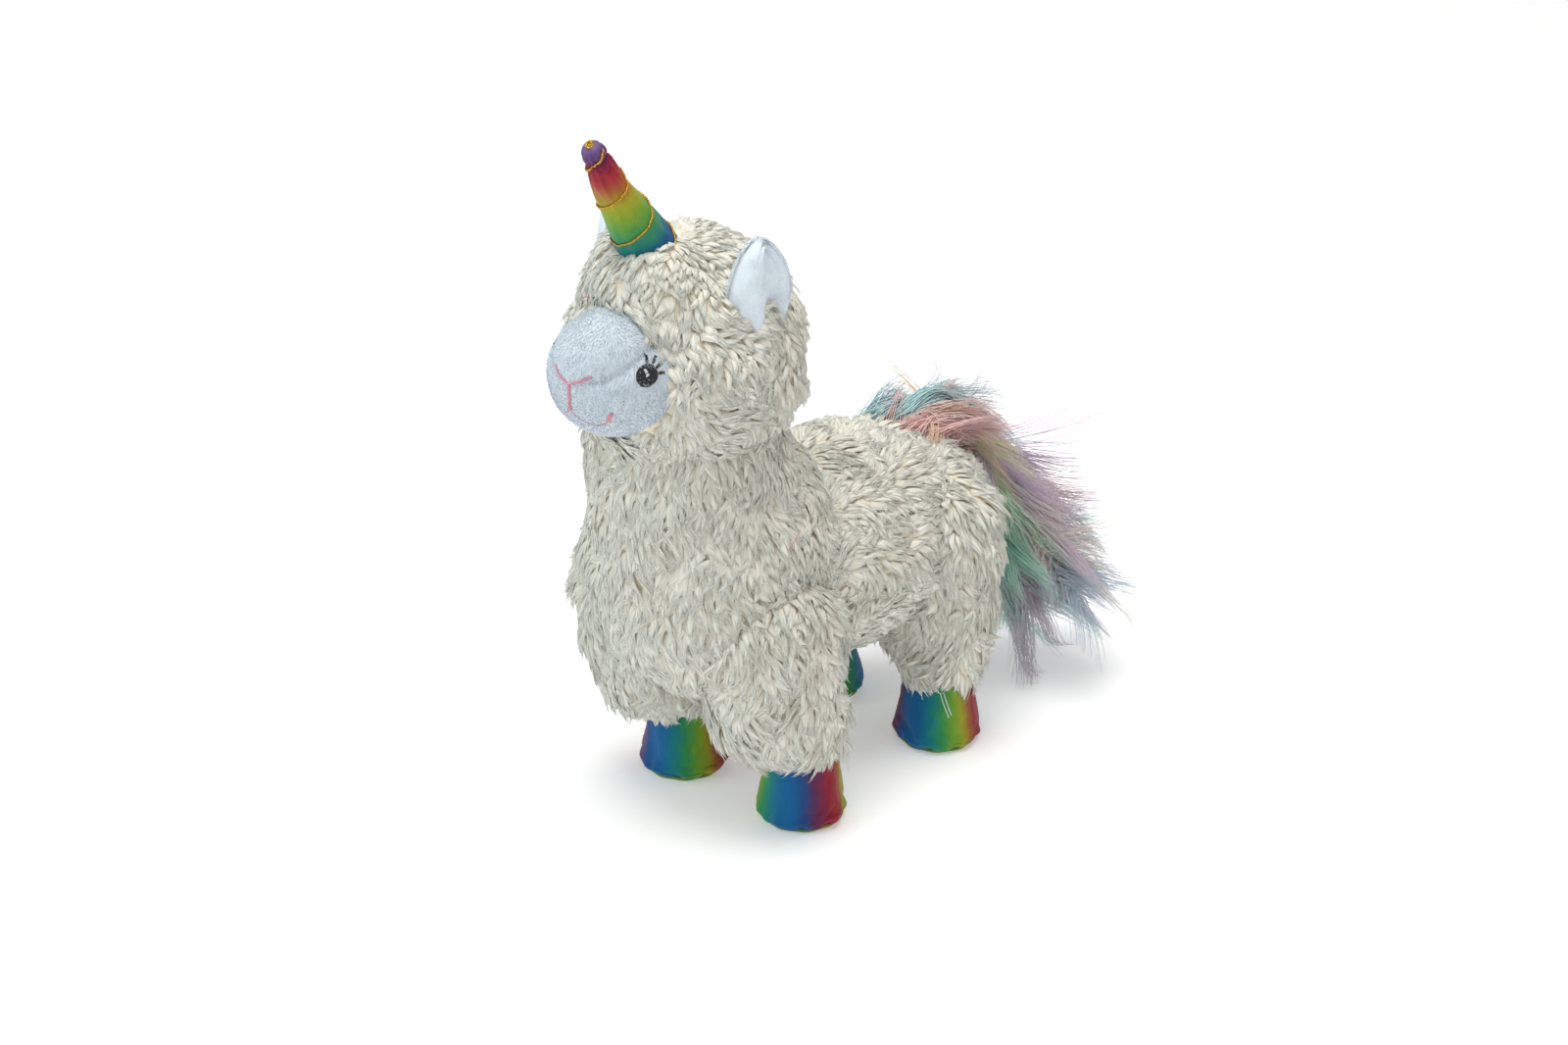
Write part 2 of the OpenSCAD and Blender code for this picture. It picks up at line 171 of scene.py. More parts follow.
def skin(clouds, voxel, rounds=4):
    """One closed skin round several rounded volumes, each given as the points that it spans."""
    bm = bmesh.new()
    for cloud in clouds:
        found = bmesh.ops.convex_hull(bm, input=[bm.verts.new(Vector(p) * MM) for p in cloud])
        left_over = found["geom_interior"] + found["geom_unused"]
        spare = {g for g in left_over if isinstance(g, bmesh.types.BMVert)}
        bmesh.ops.delete(bm, geom=list(spare), context="VERTS")
    mesh = bpy.data.meshes.new("volumes")
    bm.to_mesh(mesh)
    bm.free()
    obj = bpy.data.objects.new("volumes", mesh)
    bpy.context.scene.collection.objects.link(obj)
    remesh = obj.modifiers.new("remesh", "REMESH")
    remesh.mode = "VOXEL"
    remesh.voxel_size = voxel * MM
    verts, quads = read_mesh(obj)
    bpy.data.objects.remove(obj)
    return smoothed(verts, quads, rounds), quads


def triangles_of(quads):
    tris = np.concatenate([quads[:, [0, 1, 2]], quads[:, [0, 2, 3]]])
    return tris[(tris[:, 0] != tris[:, 2]) & (tris[:, 1] != tris[:, 2])]


def normals_of(verts, quads):
    tris = triangles_of(quads)
    face = np.cross(verts[tris[:, 1]] - verts[tris[:, 0]], verts[tris[:, 2]] - verts[tris[:, 0]])
    total = np.zeros_like(verts)
    for k in range(3):
        np.add.at(total, tris[:, k], face)
    return unit(total)


def inflated(verts, quads, most, pressure=4.0, growth=0.0, pinned=None):
    """The fabric after a short cloth simulation under the stuffing's pressure. most caps how far a point may
    move, growth is how much larger the cloth is cut than its form, and pinned marks points held by a seam."""
    obj = make("inflating", verts, [quads])
    if pinned is not None:
        group = obj.vertex_groups.new(name="seam")
        group.add([int(i) for i in np.flatnonzero(pinned)], 1.0, "REPLACE")
    cloth = obj.modifiers.new("cloth", "CLOTH")
    settings = cloth.settings
    settings.quality = 5
    settings.mass = 0.1
    settings.use_pressure = True
    settings.uniform_pressure_force = pressure
    settings.shrink_min = -growth
    settings.effector_weights.gravity = 0
    settings.bending_stiffness = 0.2
    if pinned is not None:
        settings.vertex_group_mass = "seam"
    cloth.point_cache.frame_end = 20
    for number in range(1, 21):
        bpy.context.scene.frame_set(number)
    moved, _ = read_mesh(obj)
    bpy.context.scene.frame_set(1)
    bpy.data.objects.remove(obj)
    step = moved - verts
    far = np.linalg.norm(step, axis=1, keepdims=True)
    return verts + step * np.minimum(1, most / np.maximum(far, 1e-9))


class Surface:
    """A skin that can be asked for its nearest point, and whether a point is under it."""

    def __init__(self, verts, quads):
        self.verts, self.quads = verts, quads
        self.normals = normals_of(verts, quads)
        self.tree = BVHTree.FromPolygons(verts.tolist(), triangles_of(quads).tolist())

    def depth(self, points):
        """How deep each point lies under the skin, negative outside."""
        out = np.empty(len(points))
        for i, p in enumerate(points):
            spot, normal, _, _ = self.tree.find_nearest(p)
            out[i] = (spot - Vector(p)).dot(normal)
        return out

    def onto(self, points):
        """The points moved onto the skin, and the skin's normals there."""
        spots, ways = np.empty((len(points), 3)), np.empty((len(points), 3))
        for i, p in enumerate(points):
            spot, normal, _, _ = self.tree.find_nearest(p)
            spots[i], ways[i] = spot, normal
        return spots, ways


# ---------------------------------------------------------------- materials
def new_material(name, roughness=0.8, **sockets):
    """A Principled material with plain values on its own sockets."""
    material = bpy.data.materials.new(name)
    material.use_nodes = True
    shader = material.node_tree.nodes["Principled BSDF"]
    shader.inputs["Roughness"].default_value = roughness
    for key, value in sockets.items():
        shader.inputs[key.replace("_", " ")].default_value = value
    return material


def shader_of(material):
    return material.node_tree.nodes["Principled BSDF"]


def add(material, kind, links=None, **values):
    """Adds a node. links maps an input's name or number to a socket or a value."""
    tree = material.node_tree
    node = tree.nodes.new("ShaderNode" + kind)
    for key, value in values.items():
        setattr(node, key, value)
    for key, value in (links or {}).items():
        if isinstance(value, bpy.types.NodeSocket):
            tree.links.new(value, node.inputs[key])
        else:
            node.inputs[key].default_value = value
    return node


def wire(material, socket, name):
    material.node_tree.links.new(socket, shader_of(material).inputs[name])


def rgb(*levels):
    """A colour given as display levels from 0 to 255, as linear light."""
    c = np.array(levels) / 255
    return tuple(np.where(c <= 0.04045, c / 12.92, ((c + 0.055) / 1.055) ** 2.4)) + (1.0,)


def ramp(material, value, stops):
    node = add(material, "ValToRGB", {"Fac": value})
    band = node.color_ramp
    while len(band.elements) < len(stops):
        band.elements.new(0.5)
    for element, (place, colour) in zip(band.elements, stops):
        element.position = place
        element.color = colour
    return node.outputs["Color"]


def blend_colours(material, a, b, share, kind="MIX"):
    node = add(material, "Mix", {0: share, 6: a, 7: b}, data_type="RGBA", blend_type=kind)
    return node.outputs[2]


def noise(material, scale, detail=3.0, vector=None):
    if vector is None:
        vector = add(material, "TexCoord").outputs["Object"]
    links = {"Scale": scale, "Detail": detail, "Roughness": 0.55, "Vector": vector}
    return add(material, "TexNoise", links).outputs["Fac"]


def bump(material, height, distance, strength=1.0, below=None):
    links = {"Height": height, "Distance": distance * MM, "Strength": strength}
    if below is not None:
        links["Normal"] = below
    return add(material, "Bump", links).outputs["Normal"]


def stretched_uv(material, across, along):
    uv = add(material, "UVMap", uv_map="UVMap").outputs["UV"]
    return add(material, "Mapping", {"Vector": uv, "Scale": (across, along, 1)}).outputs["Vector"]


def attribute(material, name, output="Fac"):
    return add(material, "Attribute", attribute_name=name).outputs[output]


def fleece_material():
    """Curly cream fleece: warm and dull at its roots, pale at its tips, with fine hairs along each lock."""
    m = new_material("cream_fleece", 0.95, Sheen_Weight=0.1, Sheen_Roughness=0.6, Specular_IOR_Level=0.1)
    along = attribute(m, "along")
    body = ramp(m, along, [(0.0, rgb(238, 229, 208)), (0.4, rgb(234, 230, 217)), (1.0, rgb(229, 231, 225))])
    patch = noise(m, 28, 2)
    tinted = blend_colours(m, body, rgb(236, 228, 208), add(m, "MapRange", {
        "Value": patch, "From Min": 0.5, "From Max": 0.8, "To Min": 0.0, "To Max": 0.35}).outputs["Result"])
    tone = ramp(m, attribute(m, "tone"), [(0.0, (0.93, 0.93, 0.92, 1)), (1.0, (1.05, 1.05, 1.05, 1))])
    wire(m, blend_colours(m, tinted, tone, 1.0, "MULTIPLY"), "Base Color")
    hairs = noise(m, 1.0, 4, stretched_uv(m, 16, 2.2))
    wire(m, bump(m, hairs, 0.25, 0.45), "Normal")
    return m


def plush_material(name, lift=0):
    """Short white plush, with brushed streaks and a fine nap. lift makes it paler, a painted brightening that
    stands in for extra light falling on it.
    """
    m = new_material(name, 0.95, Sheen_Weight=0.12, Sheen_Roughness=0.5, Specular_IOR_Level=0.1)
    place = add(m, "TexCoord").outputs["Object"]
    brushed = add(m, "Mapping", {"Vector": place, "Scale": (900, 420, 500), "Rotation": (0.5, 0, 0.3)})
    streak = noise(m, 1.0, 3, brushed.outputs["Vector"])
    nap = noise(m, 2600, 2, place)
    broad = noise(m, 120, 2, place)
    streaks, patches = (
        ramp(m, source, [(low, rgb(*np.array(dark) + lift)), (high, rgb(*np.array(pale) + lift))])
        for source, low, dark, high, pale in (
            (streak, 0.3, (197, 208, 216), 0.7, (211, 221, 228)),
            (broad, 0.35, (199, 209, 218), 0.65, (215, 224, 231))))
    wire(m, blend_colours(m, streaks, patches, 0.5), "Base Color")
    soft = bump(m, streak, 0.06, 0.35)
    wire(m, bump(m, nap, 0.06, 0.4, soft), "Normal")
    return m


def thread_material(name, dark, light, sheen=0.3):
    """Embroidery thread with its twist across the strand."""
    m = new_material(name, 0.45, Sheen_Weight=sheen)
    twist = add(m, "TexWave", {"Vector": stretched_uv(m, 1.0, 14.0), "Scale": 1.0, "Distortion": 0.6},
                bands_direction="DIAGONAL").outputs["Fac"]
    wire(m, ramp(m, twist, [(0.2, dark), (0.8, light)]), "Base Color")
    wire(m, bump(m, twist, 0.06, 0.6), "Normal")
    return m


# The printed rainbow, from crimson to red, as (share of one repeat, colour)
RAINBOW = ((0.0, (146, 18, 44)), (0.14, (88, 44, 90)), (0.22, (30, 74, 134)), (0.3, (0, 94, 156)),
           (0.42, (0, 100, 152)), (0.52, (4, 122, 128)), (0.61, (44, 142, 78)), (0.7, (108, 158, 44)),
           (0.78, (154, 154, 36)), (0.85, (150, 92, 38)), (0.92, (146, 24, 40)))


def satin_material(name, stops, repeats=True):
    """Printed satin. The map's first coordinate runs through the print, and fine threads show as streaks."""
    m = new_material(name, 0.5, Anisotropic=0.4, Sheen_Weight=0.04, Specular_IOR_Level=0.18)
    uv = add(m, "UVMap", uv_map="UVMap").outputs["UV"]
    wander = add(m, "Math", {0: noise(m, 260, 3), 1: 0.09}, operation="MULTIPLY_ADD")
    wander.inputs[2].default_value = -0.045
    print_at = add(m, "Math", {0: add(m, "SeparateXYZ", {"Vector": uv}).outputs["X"], 1: wander.outputs[0]},
                   operation="ADD").outputs[0]
    if repeats:
        print_at = add(m, "Math", {0: print_at}, operation="FRACT").outputs[0]
    dyed = ramp(m, print_at, [(place, rgb(*colour)) for place, colour in stops])
    threads = noise(m, 1.0, 3, stretched_uv(m, 260 if repeats else 60, 12 if repeats else 120))
    shade = ramp(m, threads, [(0.25, (0.82, 0.82, 0.82, 1)), (0.75, (1.12, 1.12, 1.12, 1))])
    wire(m, blend_colours(m, dyed, shade, 1.0, "MULTIPLY"), "Base Color")
    creases = noise(m, 1.0, 2, stretched_uv(m, 22 if repeats else 6, 1.5))
    wire(m, bump(m, threads, 0.05, 0.5, bump(m, creases, 0.5, 0.5)), "Normal")
    return m


def gold_material():
    m = new_material("gold_cord", 0.3, Metallic=0.85, Specular_IOR_Level=0.6)
    glitter = noise(m, 2200, 3)
    wire(m, ramp(m, glitter, [(0.3, rgb(150, 104, 26)), (0.6, rgb(222, 172, 62)), (0.8, rgb(255, 226, 140))]),
         "Base Color")
    wire(m, bump(m, glitter, 0.08, 0.6), "Normal")
    return m


def hair_material():
    m = new_material("tail_fur", 0.55, Sheen_Weight=0.3, Specular_IOR_Level=0.35)
    streak = noise(m, 1.0, 3, stretched_uv(m, 3, 5))
    shade = ramp(m, streak, [(0.2, (0.86, 0.86, 0.86, 1)), (0.8, (1.08, 1.08, 1.08, 1))])
    wire(m, blend_colours(m, attribute(m, "dye", "Color"), shade, 1.0, "MULTIPLY"), "Base Color")
    wire(m, bump(m, streak, 0.05, 0.4), "Normal")
    return m


def knit_material():
    m = new_material("knit_backing", 0.9)
    loops = add(m, "TexVoronoi", {"Vector": stretched_uv(m, 60, 60), "Scale": 1.0}).outputs["Distance"]
    wire(m, ramp(m, loops, [(0.1, rgb(168, 160, 158)), (0.8, rgb(120, 112, 112))]), "Base Color")
    wire(m, bump(m, loops, 0.3, 0.8), "Normal")
    return m


def sole_material():
    m = new_material("sole_satin", 0.45, Anisotropic=0.3)
    drift = noise(m, 90, 2)
    wire(m, ramp(m, drift, [(0.35, rgb(70, 128, 84)), (0.65, rgb(150, 154, 62))]), "Base Color")
    wire(m, bump(m, noise(m, 900, 3), 0.1, 0.5), "Normal")
    return m


FLEECE = fleece_material()
PLUSH = plush_material("white_plush")
# The same white plush made paler for the ears: painted light for the brighter light the ears catch.
EAR_PLUSH_PAINTED_LIGHT = plush_material("white_ear_plush_painted_light", 18)
BLACK = thread_material("black_thread", rgb(10, 10, 12), rgb(26, 26, 29), 0.05)
PINK = thread_material("pink_thread", rgb(205, 108, 134), rgb(236, 150, 170))
WHITE = thread_material("white_thread", rgb(205, 210, 216), rgb(245, 247, 250))
GOLD = gold_material()
HOOF_SATIN = satin_material("hoof_satin", RAINBOW)
HAIR = hair_material()
KNIT = knit_material()
SOLE = sole_material()


# ---------------------------------------------------------------- tubes
def tube_grid(path, side, up, width, thick, sides):
    """Rings of points round many paths at once: (tubes, rings, 3) in, (tubes, rings, sides, 3) out."""
    angle = np.linspace(0, 2 * math.pi, sides, endpoint=False)[None, None, :]
    across = (np.cos(angle) * width[:, :, None])[..., None] * side[:, :, None, :]
    upward = (np.sin(angle) * thick[:, :, None])[..., None] * up[:, :, None, :]
    return path[:, :, None, :] + across + upward


def tube_faces(tubes, rings, sides, first=0):
    """Quads with their map corners, and the two end caps of each tube."""
    index = first + np.arange(tubes * rings * sides).reshape(tubes, rings, sides)
    after = np.roll(index, -1, 2)
    quads = np.stack([index[:, :-1], after[:, :-1], after[:, 1:], index[:, 1:]], -1).reshape(-1, 4)
    u = np.arange(sides) / sides
    v = np.arange(rings) / (rings - 1)
    corner = np.empty((tubes, rings - 1, sides, 4, 2), np.float32)
    for k, (du, dv) in enumerate(((0, 0), (1, 0), (1, 1), (0, 1))):
        corner[..., k, 0] = (u + du / sides)[None, None, :]
        corner[..., k, 1] = v[dv:rings - 1 + dv][None, :, None]
    caps = np.concatenate([index[:, 0, ::-1], index[:, -1]])
    return quads, corner.reshape(-1, 2), caps, np.full((caps.size, 2), 0.5, np.float32)


def ways_along(path):
    return unit(np.gradient(path, axis=1))


def print_map(rings, sides):
    """For each corner of one tube's quads: the ring it is on, and its share of the way round."""
    row, column = np.meshgrid(np.arange(rings - 1), np.arange(sides), indexing="ij")
    ring = np.stack([row, row, row + 1, row + 1], -1)
    share = np.stack([column, column + 1, column + 1, column], -1) / sides
    return ring, share


def tube_piece(name, grid, material, body, nodes=(), colours=None):
    """A piece made of tubes, which rides a body."""
    quads, uv, caps, cap_uv = tube_faces(*grid.shape[:3])
    obj = make(name, grid.reshape(-1, 3), [quads, caps], material, [uv, cap_uv], None, colours)
    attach(obj, body)
    if nodes:
        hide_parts(*nodes)
    return obj


def thread_grid(path, facing, radius, sides):
    """Round tubes of an even or changing radius, with their sides square to a facing direction."""
    way = ways_along(path)
    side = unit(np.cross(way, facing))
    thick = np.broadcast_to(radius, path.shape[:2])
    return tube_grid(path, side, np.cross(way, side), thick, thick, sides)


# ---------------------------------------------------------------- fleece
def scatter(verts, quads, normals, spacing, rng):
    """Points spread evenly over a skin, about one to each square of the spacing."""
    tris = triangles_of(quads)
    a, b, c = (verts[tris[:, k]] for k in range(3))
    area = np.linalg.norm(np.cross(b - a, c - a), axis=1) / 2
    count = int(area.sum() / spacing ** 2 * 7)
    pick = rng.choice(len(tris), count, p=area / area.sum())
    s, t = rng.random((2, count, 1))
    flip = (s + t) > 1
    s, t = np.where(flip, 1 - s, s), np.where(flip, 1 - t, t)
    points = a[pick] + s * (b - a)[pick] + t * (c - a)[pick]
    ways = unit(sum(normals[tris[pick, k]] * w for k, w in ((0, 1 - s - t), (1, s), (2, t))))
    for shift in (0.0, 0.5):
        cell = np.floor(points / (spacing * 0.98) + shift).astype(np.int64)
        _, first = np.unique(cell @ np.array([1, 100_003, 10_000_019]), return_index=True)
        first.sort()
        points, ways = points[first], ways[first]
    return points, ways


LOCK_RINGS, LOCK_SIDES, LOCK_STRANDS = 6, 7, 4
LOCK_FLATNESS = 0.3
ROOT_SINK = 0.6
HAIR_RADIUS = 0.2


def lock_paths(root, normal, flow, shape, lean, sway):
    """Arcs that rise off the skin and lie over along the flow. shape has length, height, radius and roll."""
    length, height, _, roll = shape.T[:, :, None]
    t = np.linspace(0, 1, LOCK_RINGS)[None, :]
    side = np.cross(normal, flow)
    out = -ROOT_SINK + (height + ROOT_SINK) * np.sin(math.pi * roll * t)
    drift = lean * t ** 1.5 + 0.7 * (np.sin(3.2 * t + sway) - np.sin(sway))
    return (root[:, None] + (length * t)[..., None] * flow[:, None] + out[..., None] * normal[:, None]
            + drift[..., None] * side[:, None])


def tapered(path, normal, wide, thick, sides):
    """Tubes whose flat way lies across the path and along the skin."""
    way = ways_along(path)
    across = unit(np.cross(np.broadcast_to(normal[:, None], path.shape), way))
    return tube_grid(path, across, np.cross(way, across), wide, thick, sides)


def grow(root, normal, flow, shape, rng):
    """Locks of fleece. Each is a soft pointed petal with a few loose hairs over it."""
    n = len(root)
    t = np.linspace(0, 1, LOCK_RINGS)[None, :]
    lean, sway = rng.uniform(-2.4, 2.4, (n, 1)), rng.uniform(0, 2 * math.pi, (n, 1))
    path = lock_paths(root, normal, flow, shape, lean, sway)
    side = np.cross(normal, flow)
    fan = ((1 - t ** 1.3) * (0.72 + 0.6 * t) + 0.03) * shape[:, 2, None]
    petal = tapered(path, normal, fan, LOCK_FLATNESS * fan, LOCK_SIDES)
    tone = rng.random(n)
    parts = [(petal, np.broadcast_to(0.1 + 0.9 * t[:, :, None], petal.shape[:3]), tone)]
    for _ in range(LOCK_STRANDS):
        place = rng.uniform(-0.95, 0.95, (n, 1))
        longer = rng.uniform(1.0, 1.22, (n, 1))
        stray = rng.normal(0, 0.5, (n, 1)) * t ** 2
        own_shape = shape * np.concatenate([longer, longer, longer, np.ones_like(longer)], 1)
        strand = lock_paths(root, normal, flow, own_shape, lean, sway)
        strand = strand + (place * fan + stray)[..., None] * side[:, None]
        strand = strand + (0.3 * (1 - place ** 2) * fan + 0.4 * stray)[..., None] * normal[:, None]
        fine = np.broadcast_to(HAIR_RADIUS * np.sin(math.pi * (0.3 + 0.68 * t)) + 0.02, (n, LOCK_RINGS))
        grid = tapered(strand, normal, fine, fine, 3)
        parts.append((grid, np.broadcast_to(0.4 + 0.6 * t[:, :, None], grid.shape[:3]), tone))
    return parts


def fleece_piece(name, skin_part, parts, material):
    """Joins a patch of skin with the locks that grow on it."""
    verts, quads = skin_part
    uv_skin = np.zeros((len(quads) * 4, 2), np.float32)
    all_verts, faces, maps = [verts], [quads], [uv_skin]
    along, tone = [np.zeros(len(verts))], [np.full(len(verts), 0.5)]
    caps, cap_maps, first = [], [], len(verts)
    for grid, level, shade in parts:
        n, rings, sides, _ = grid.shape
        q, uv, cap, cap_uv = tube_faces(n, rings, sides, first)
        all_verts.append(grid.reshape(-1, 3))
        faces.append(q)
        maps.append(uv)
        caps.append(cap)
        cap_maps.append(cap_uv)
        along.append(level.reshape(-1))
        tone.append(np.repeat(shade, rings * sides))
        first += grid.size // 3
    return make(name, np.concatenate(all_verts), faces + caps, material, maps + cap_maps,
                {"along": np.concatenate(along), "tone": np.concatenate(tone)})


def cut_out(verts, quads, keep):
    """The part of a skin whose faces are marked, with its own vertices."""
    quads = quads[keep]
    used, back = np.unique(quads, return_inverse=True)
    return verts[used], back.reshape(-1, 4)


def fleece(surface, spacing, regions, comb, cut, seed, skip=None):
    """Grows fleece on a skin and makes one piece for each region. regions maps a name to a test on points."""
    rng = rng_for(seed)
    root, normal = scatter(surface.verts, surface.quads, surface.normals, spacing, rng)
    if skip is not None:
        keep = ~skip(root, normal)
        root, normal = root[keep], normal[keep]
    flow = comb(root, normal)
    flow = flat_to(flow + 0.28 * rng.normal(size=flow.shape), normal)
    shape = cut(root, normal) * rng.uniform(0.75, 1.25, (len(root), 4)) ** np.array([1, 1, 0.8, 0.25])
    face_middle = surface.verts[surface.quads].mean(1)
    made = {}
    for name, inside in regions.items():
        mine = inside(root)
        made[name] = fleece_piece(name, cut_out(surface.verts, surface.quads, inside(face_middle)),
                                  grow(root[mine], normal[mine], flow[mine], shape[mine], rng), FLEECE)
    return made


def swirl(flow, normal, angle):
    """Turns the flow within the surface."""
    return flow * np.cos(angle)[:, None] + np.cross(normal, flow) * np.sin(angle)[:, None]


def styles(curly, brushed, share):
    return np.array(curly)[None] * share[:, None] + np.array(brushed)[None] * (1 - share[:, None])


# Length, height, radius and roll of a lock, and how far apart the locks stand
CURLY = (7.6, 1.5, 2.1, 0.64)
BRUSHED = (9.4, 1.4, 2.0, 0.56)
CROWN = (6.0, 1.0, 2.2, 0.6)
SPACING = 2.1

HEAD = PIVOTS["head_nod"]
TAIL = PIVOTS["tail_lift"]
HORN = PIVOTS["horn_bend"]
HORN_HOLE = 7.0
MUZZLE = np.array([0, -101, 184.0])
MUZZLE_R = 22.3


def uneven(verts, quads):
    """The skin with the soft lumps that stuffed fleece has."""
    lumps = 0.75 * ripple(verts, 17, 91)
    return Surface(verts + lumps[:, None] * normals_of(verts, quads), quads)


# ---- torso, chest and neck: one skin, cut into the panels that are sewn together
NECK_SPLIT = 116.0
SHOULDER_SEAM = -20
BELLY_TOP = 62


def body_surface():
    clouds = [
        ball_points((0, 4, 84), (46 - PILE, 78 - PILE, 38 - PILE)),
        ball_points((0, -54, 100), (46 - PILE, 44 - PILE, 52 - PILE)),
        np.concatenate([ball_points((0, -56, 106), [41 - PILE] * 3),
                        ball_points((0, -67, 152), (36 - PILE, 31 - PILE, 28 - PILE))]),
    ]
    verts, quads = skin(clouds, 3.2, 8)
    return uneven(inflated(verts, quads, 2.0), quads)


def leg_surface(leg):
    side = 1 if leg.endswith("left") else -1
    front = leg.startswith("front")
    hoof = middle(f"{leg}_hoof_sleeve")
    hem = (hoof[0], hoof[1], 27)
    if front:
        top, knee = ((side * 28, -56, 80), 27 - PILE), ((side * 27.5, -52, 53), 25 - PILE)
    else:
        top, knee = ((side * 26, 38, 82), 25 - PILE), ((side * 27, 37.5, 56), 23 - PILE)
    clouds = [
        np.concatenate([ball_points(top[0], [top[1]] * 3), ball_points(knee[0], [knee[1]] * 3)]),
        np.concatenate([ball_points(knee[0], [knee[1]] * 3), disc_points(hem, 14)]),
    ]
    verts, quads = skin(clouds, 2.6, 3)
    return uneven(inflated(verts, quads, 1.5), quads)


def head_surface():
    clouds = [
        ball_points(HEAD, (41 - PILE, 41.5 - PILE, 45.5 - PILE)),
        ball_points((0, -90, 182.5), [23.6] * 3),
        ball_points((0, -79, 201), (26, 22, 22.5)),
        ball_points((0, -83, 208.5), (22, 17, 19.5)),
    ]
    verts, quads = skin(clouds, 2.4, 2)
    return uneven(inflated(verts, quads, 1.5), quads)


BODY = body_surface()
LEG_SKINS = {leg: leg_surface(leg) for leg in LEGS}
HEAD_SKIN = head_surface()


def body_comb(points, normal):
    """Down on the chest, back and down on the flanks, straight back along the spine."""
    x, y, _ = points.T
    chest = smoothstep(-y, 25, 55)
    top = smoothstep(normal[:, 2], 0.5, 0.95) * (1 - chest)
    flow = np.stack([0.1 * np.sign(x), 0.9 - 1.0 * chest + 0.6 * top, -0.75 - 0.4 * chest + 0.6 * top], 1)
    under = smoothstep(-normal[:, 2], 0.4, 0.9)
    flow += under[:, None] * np.array([0, 1.0, 0])
    turn = (1.15 - 0.8 * chest) * ripple(points, 26, 11)
    return swirl(flat_to(flow, normal), normal, turn)


def body_cut(points, normal):
    share = (1 - 0.8 * smoothstep(-points[:, 1], 45, 75)) * (1 - 0.6 * smoothstep(normal[:, 2], 0.75, 0.97))
    return styles(CURLY, BRUSHED, share)


def body_skip(points, normal):
    buried = np.zeros(len(points), bool)
    for other in LEG_SKINS.values():
        near = ~buried & (points[:, 2] < 112)
        buried[np.flatnonzero(near)] |= other.depth(points[near]) > 2.5
    return buried | (HEAD_SKIN.depth(points) > 3)


def on_belly(p):
    return (abs(p[:, 0]) < half_size("belly_panel")[0]) & (p[:, 2] < BELLY_TOP)


def on_neck(p):
    return (p[:, 2] >= NECK_SPLIT) & (p[:, 1] < SHOULDER_SEAM)


def on_front(p):
    return (p[:, 2] < NECK_SPLIT) & (p[:, 1] < SHOULDER_SEAM) & ~on_belly(p)


def on_rear(p):
    return (p[:, 1] >= SHOULDER_SEAM) & ~on_belly(p)


body_regions = {
    "torso_fleece_left_front": lambda p: on_front(p) & (p[:, 0] >= 0),
    "torso_fleece_right_front": lambda p: on_front(p) & (p[:, 0] < 0),
    "torso_fleece_left_rear": lambda p: on_rear(p) & (p[:, 0] >= 0),
    "torso_fleece_right_rear": lambda p: on_rear(p) & (p[:, 0] < 0),
    "belly_fleece": on_belly,
    "neck_fleece": on_neck,
}
body_pieces = fleece(BODY, SPACING, body_regions, body_comb, body_cut, 1, body_skip)
for name, nodes in (("torso_fleece_left_front", ["torso_cover_left"]),
                    ("torso_fleece_left_rear", ["torso_cover_left", "torso_stuffing"]),
                    ("torso_fleece_right_front", ["torso_cover_right"]),
                    ("torso_fleece_right_rear", ["torso_cover_right"]),
                    ("belly_fleece", ["belly_panel"])):
    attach(body_pieces[name], "torso")
    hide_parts(*nodes)
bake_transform(body_pieces["neck_fleece"])
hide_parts("neck_cover", "neck_stuffing")


# ---- legs
def leg_comb(points, normal):
    flow = flat_to(np.tile([0.0, 0.0, -1.0], (len(points), 1)), normal)
    return swirl(flow, normal, 0.55 * ripple(points, 24, 12))


def leg_cut(points, normal):
    hem = smoothstep(-points[:, 2], -36, -29)
    share = 0.45 * (1 - hem)
    shape = styles(CURLY, BRUSHED, share)
    shape[:, 1] *= 1 - 0.35 * hem
    return shape


def leg_skip(points, normal):
    return (BODY.depth(points) > 2.5) | ((normal[:, 2] < -0.75) & (points[:, 2] < 31))


for number, leg in enumerate(LEGS):
    whole_leg = {f"{leg}_leg_fleece": lambda p: p[:, 2] > -1}
    made = fleece(LEG_SKINS[leg], SPACING, whole_leg, leg_comb, leg_cut, 20 + number, leg_skip)
    piece = made[f"{leg}_leg_fleece"]
    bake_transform(piece)
    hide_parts(f"{leg}_leg_cover", f"{leg}_leg_stuffing")


# ---- head
def face_gap(points):
    """How far behind the face's edge a point lies. The edge runs further forward above and below."""
    rise = points[:, 2] - 182.5
    edge = -96.6 - np.where(rise > 0, 0.006, 0.016) * rise ** 2
    return points[:, 1] - edge


def head_comb(points, normal):
    """Outward and down from the crown."""
    crown = np.array([0, -70, 226])
    flow = flat_to((points - crown) * [1, 1, 1.4] + [0, 0, -6], normal)
    cheek = smoothstep(-points[:, 1], 78, 92) * smoothstep(-points[:, 2], -205, -190)
    flow = flat_to(flow + cheek[:, None] * np.array([0, 0.9, 0]), normal)
    return swirl(flow, normal, 0.9 * (1 - smoothstep(points[:, 2], 205, 218)) * ripple(points, 24, 13))


def head_cut(points, normal):
    crown = smoothstep(points[:, 2], 203, 216)
    return styles(CROWN, CURLY, crown)


def head_skip(points, normal):
    at_horn = (np.linalg.norm((points - HORN)[:, :2] + [0, 1], axis=1) < HORN_HOLE) & (points[:, 2] > 205)
    return (face_gap(points) < 0) | at_horn | (BODY.depth(points) > 4)


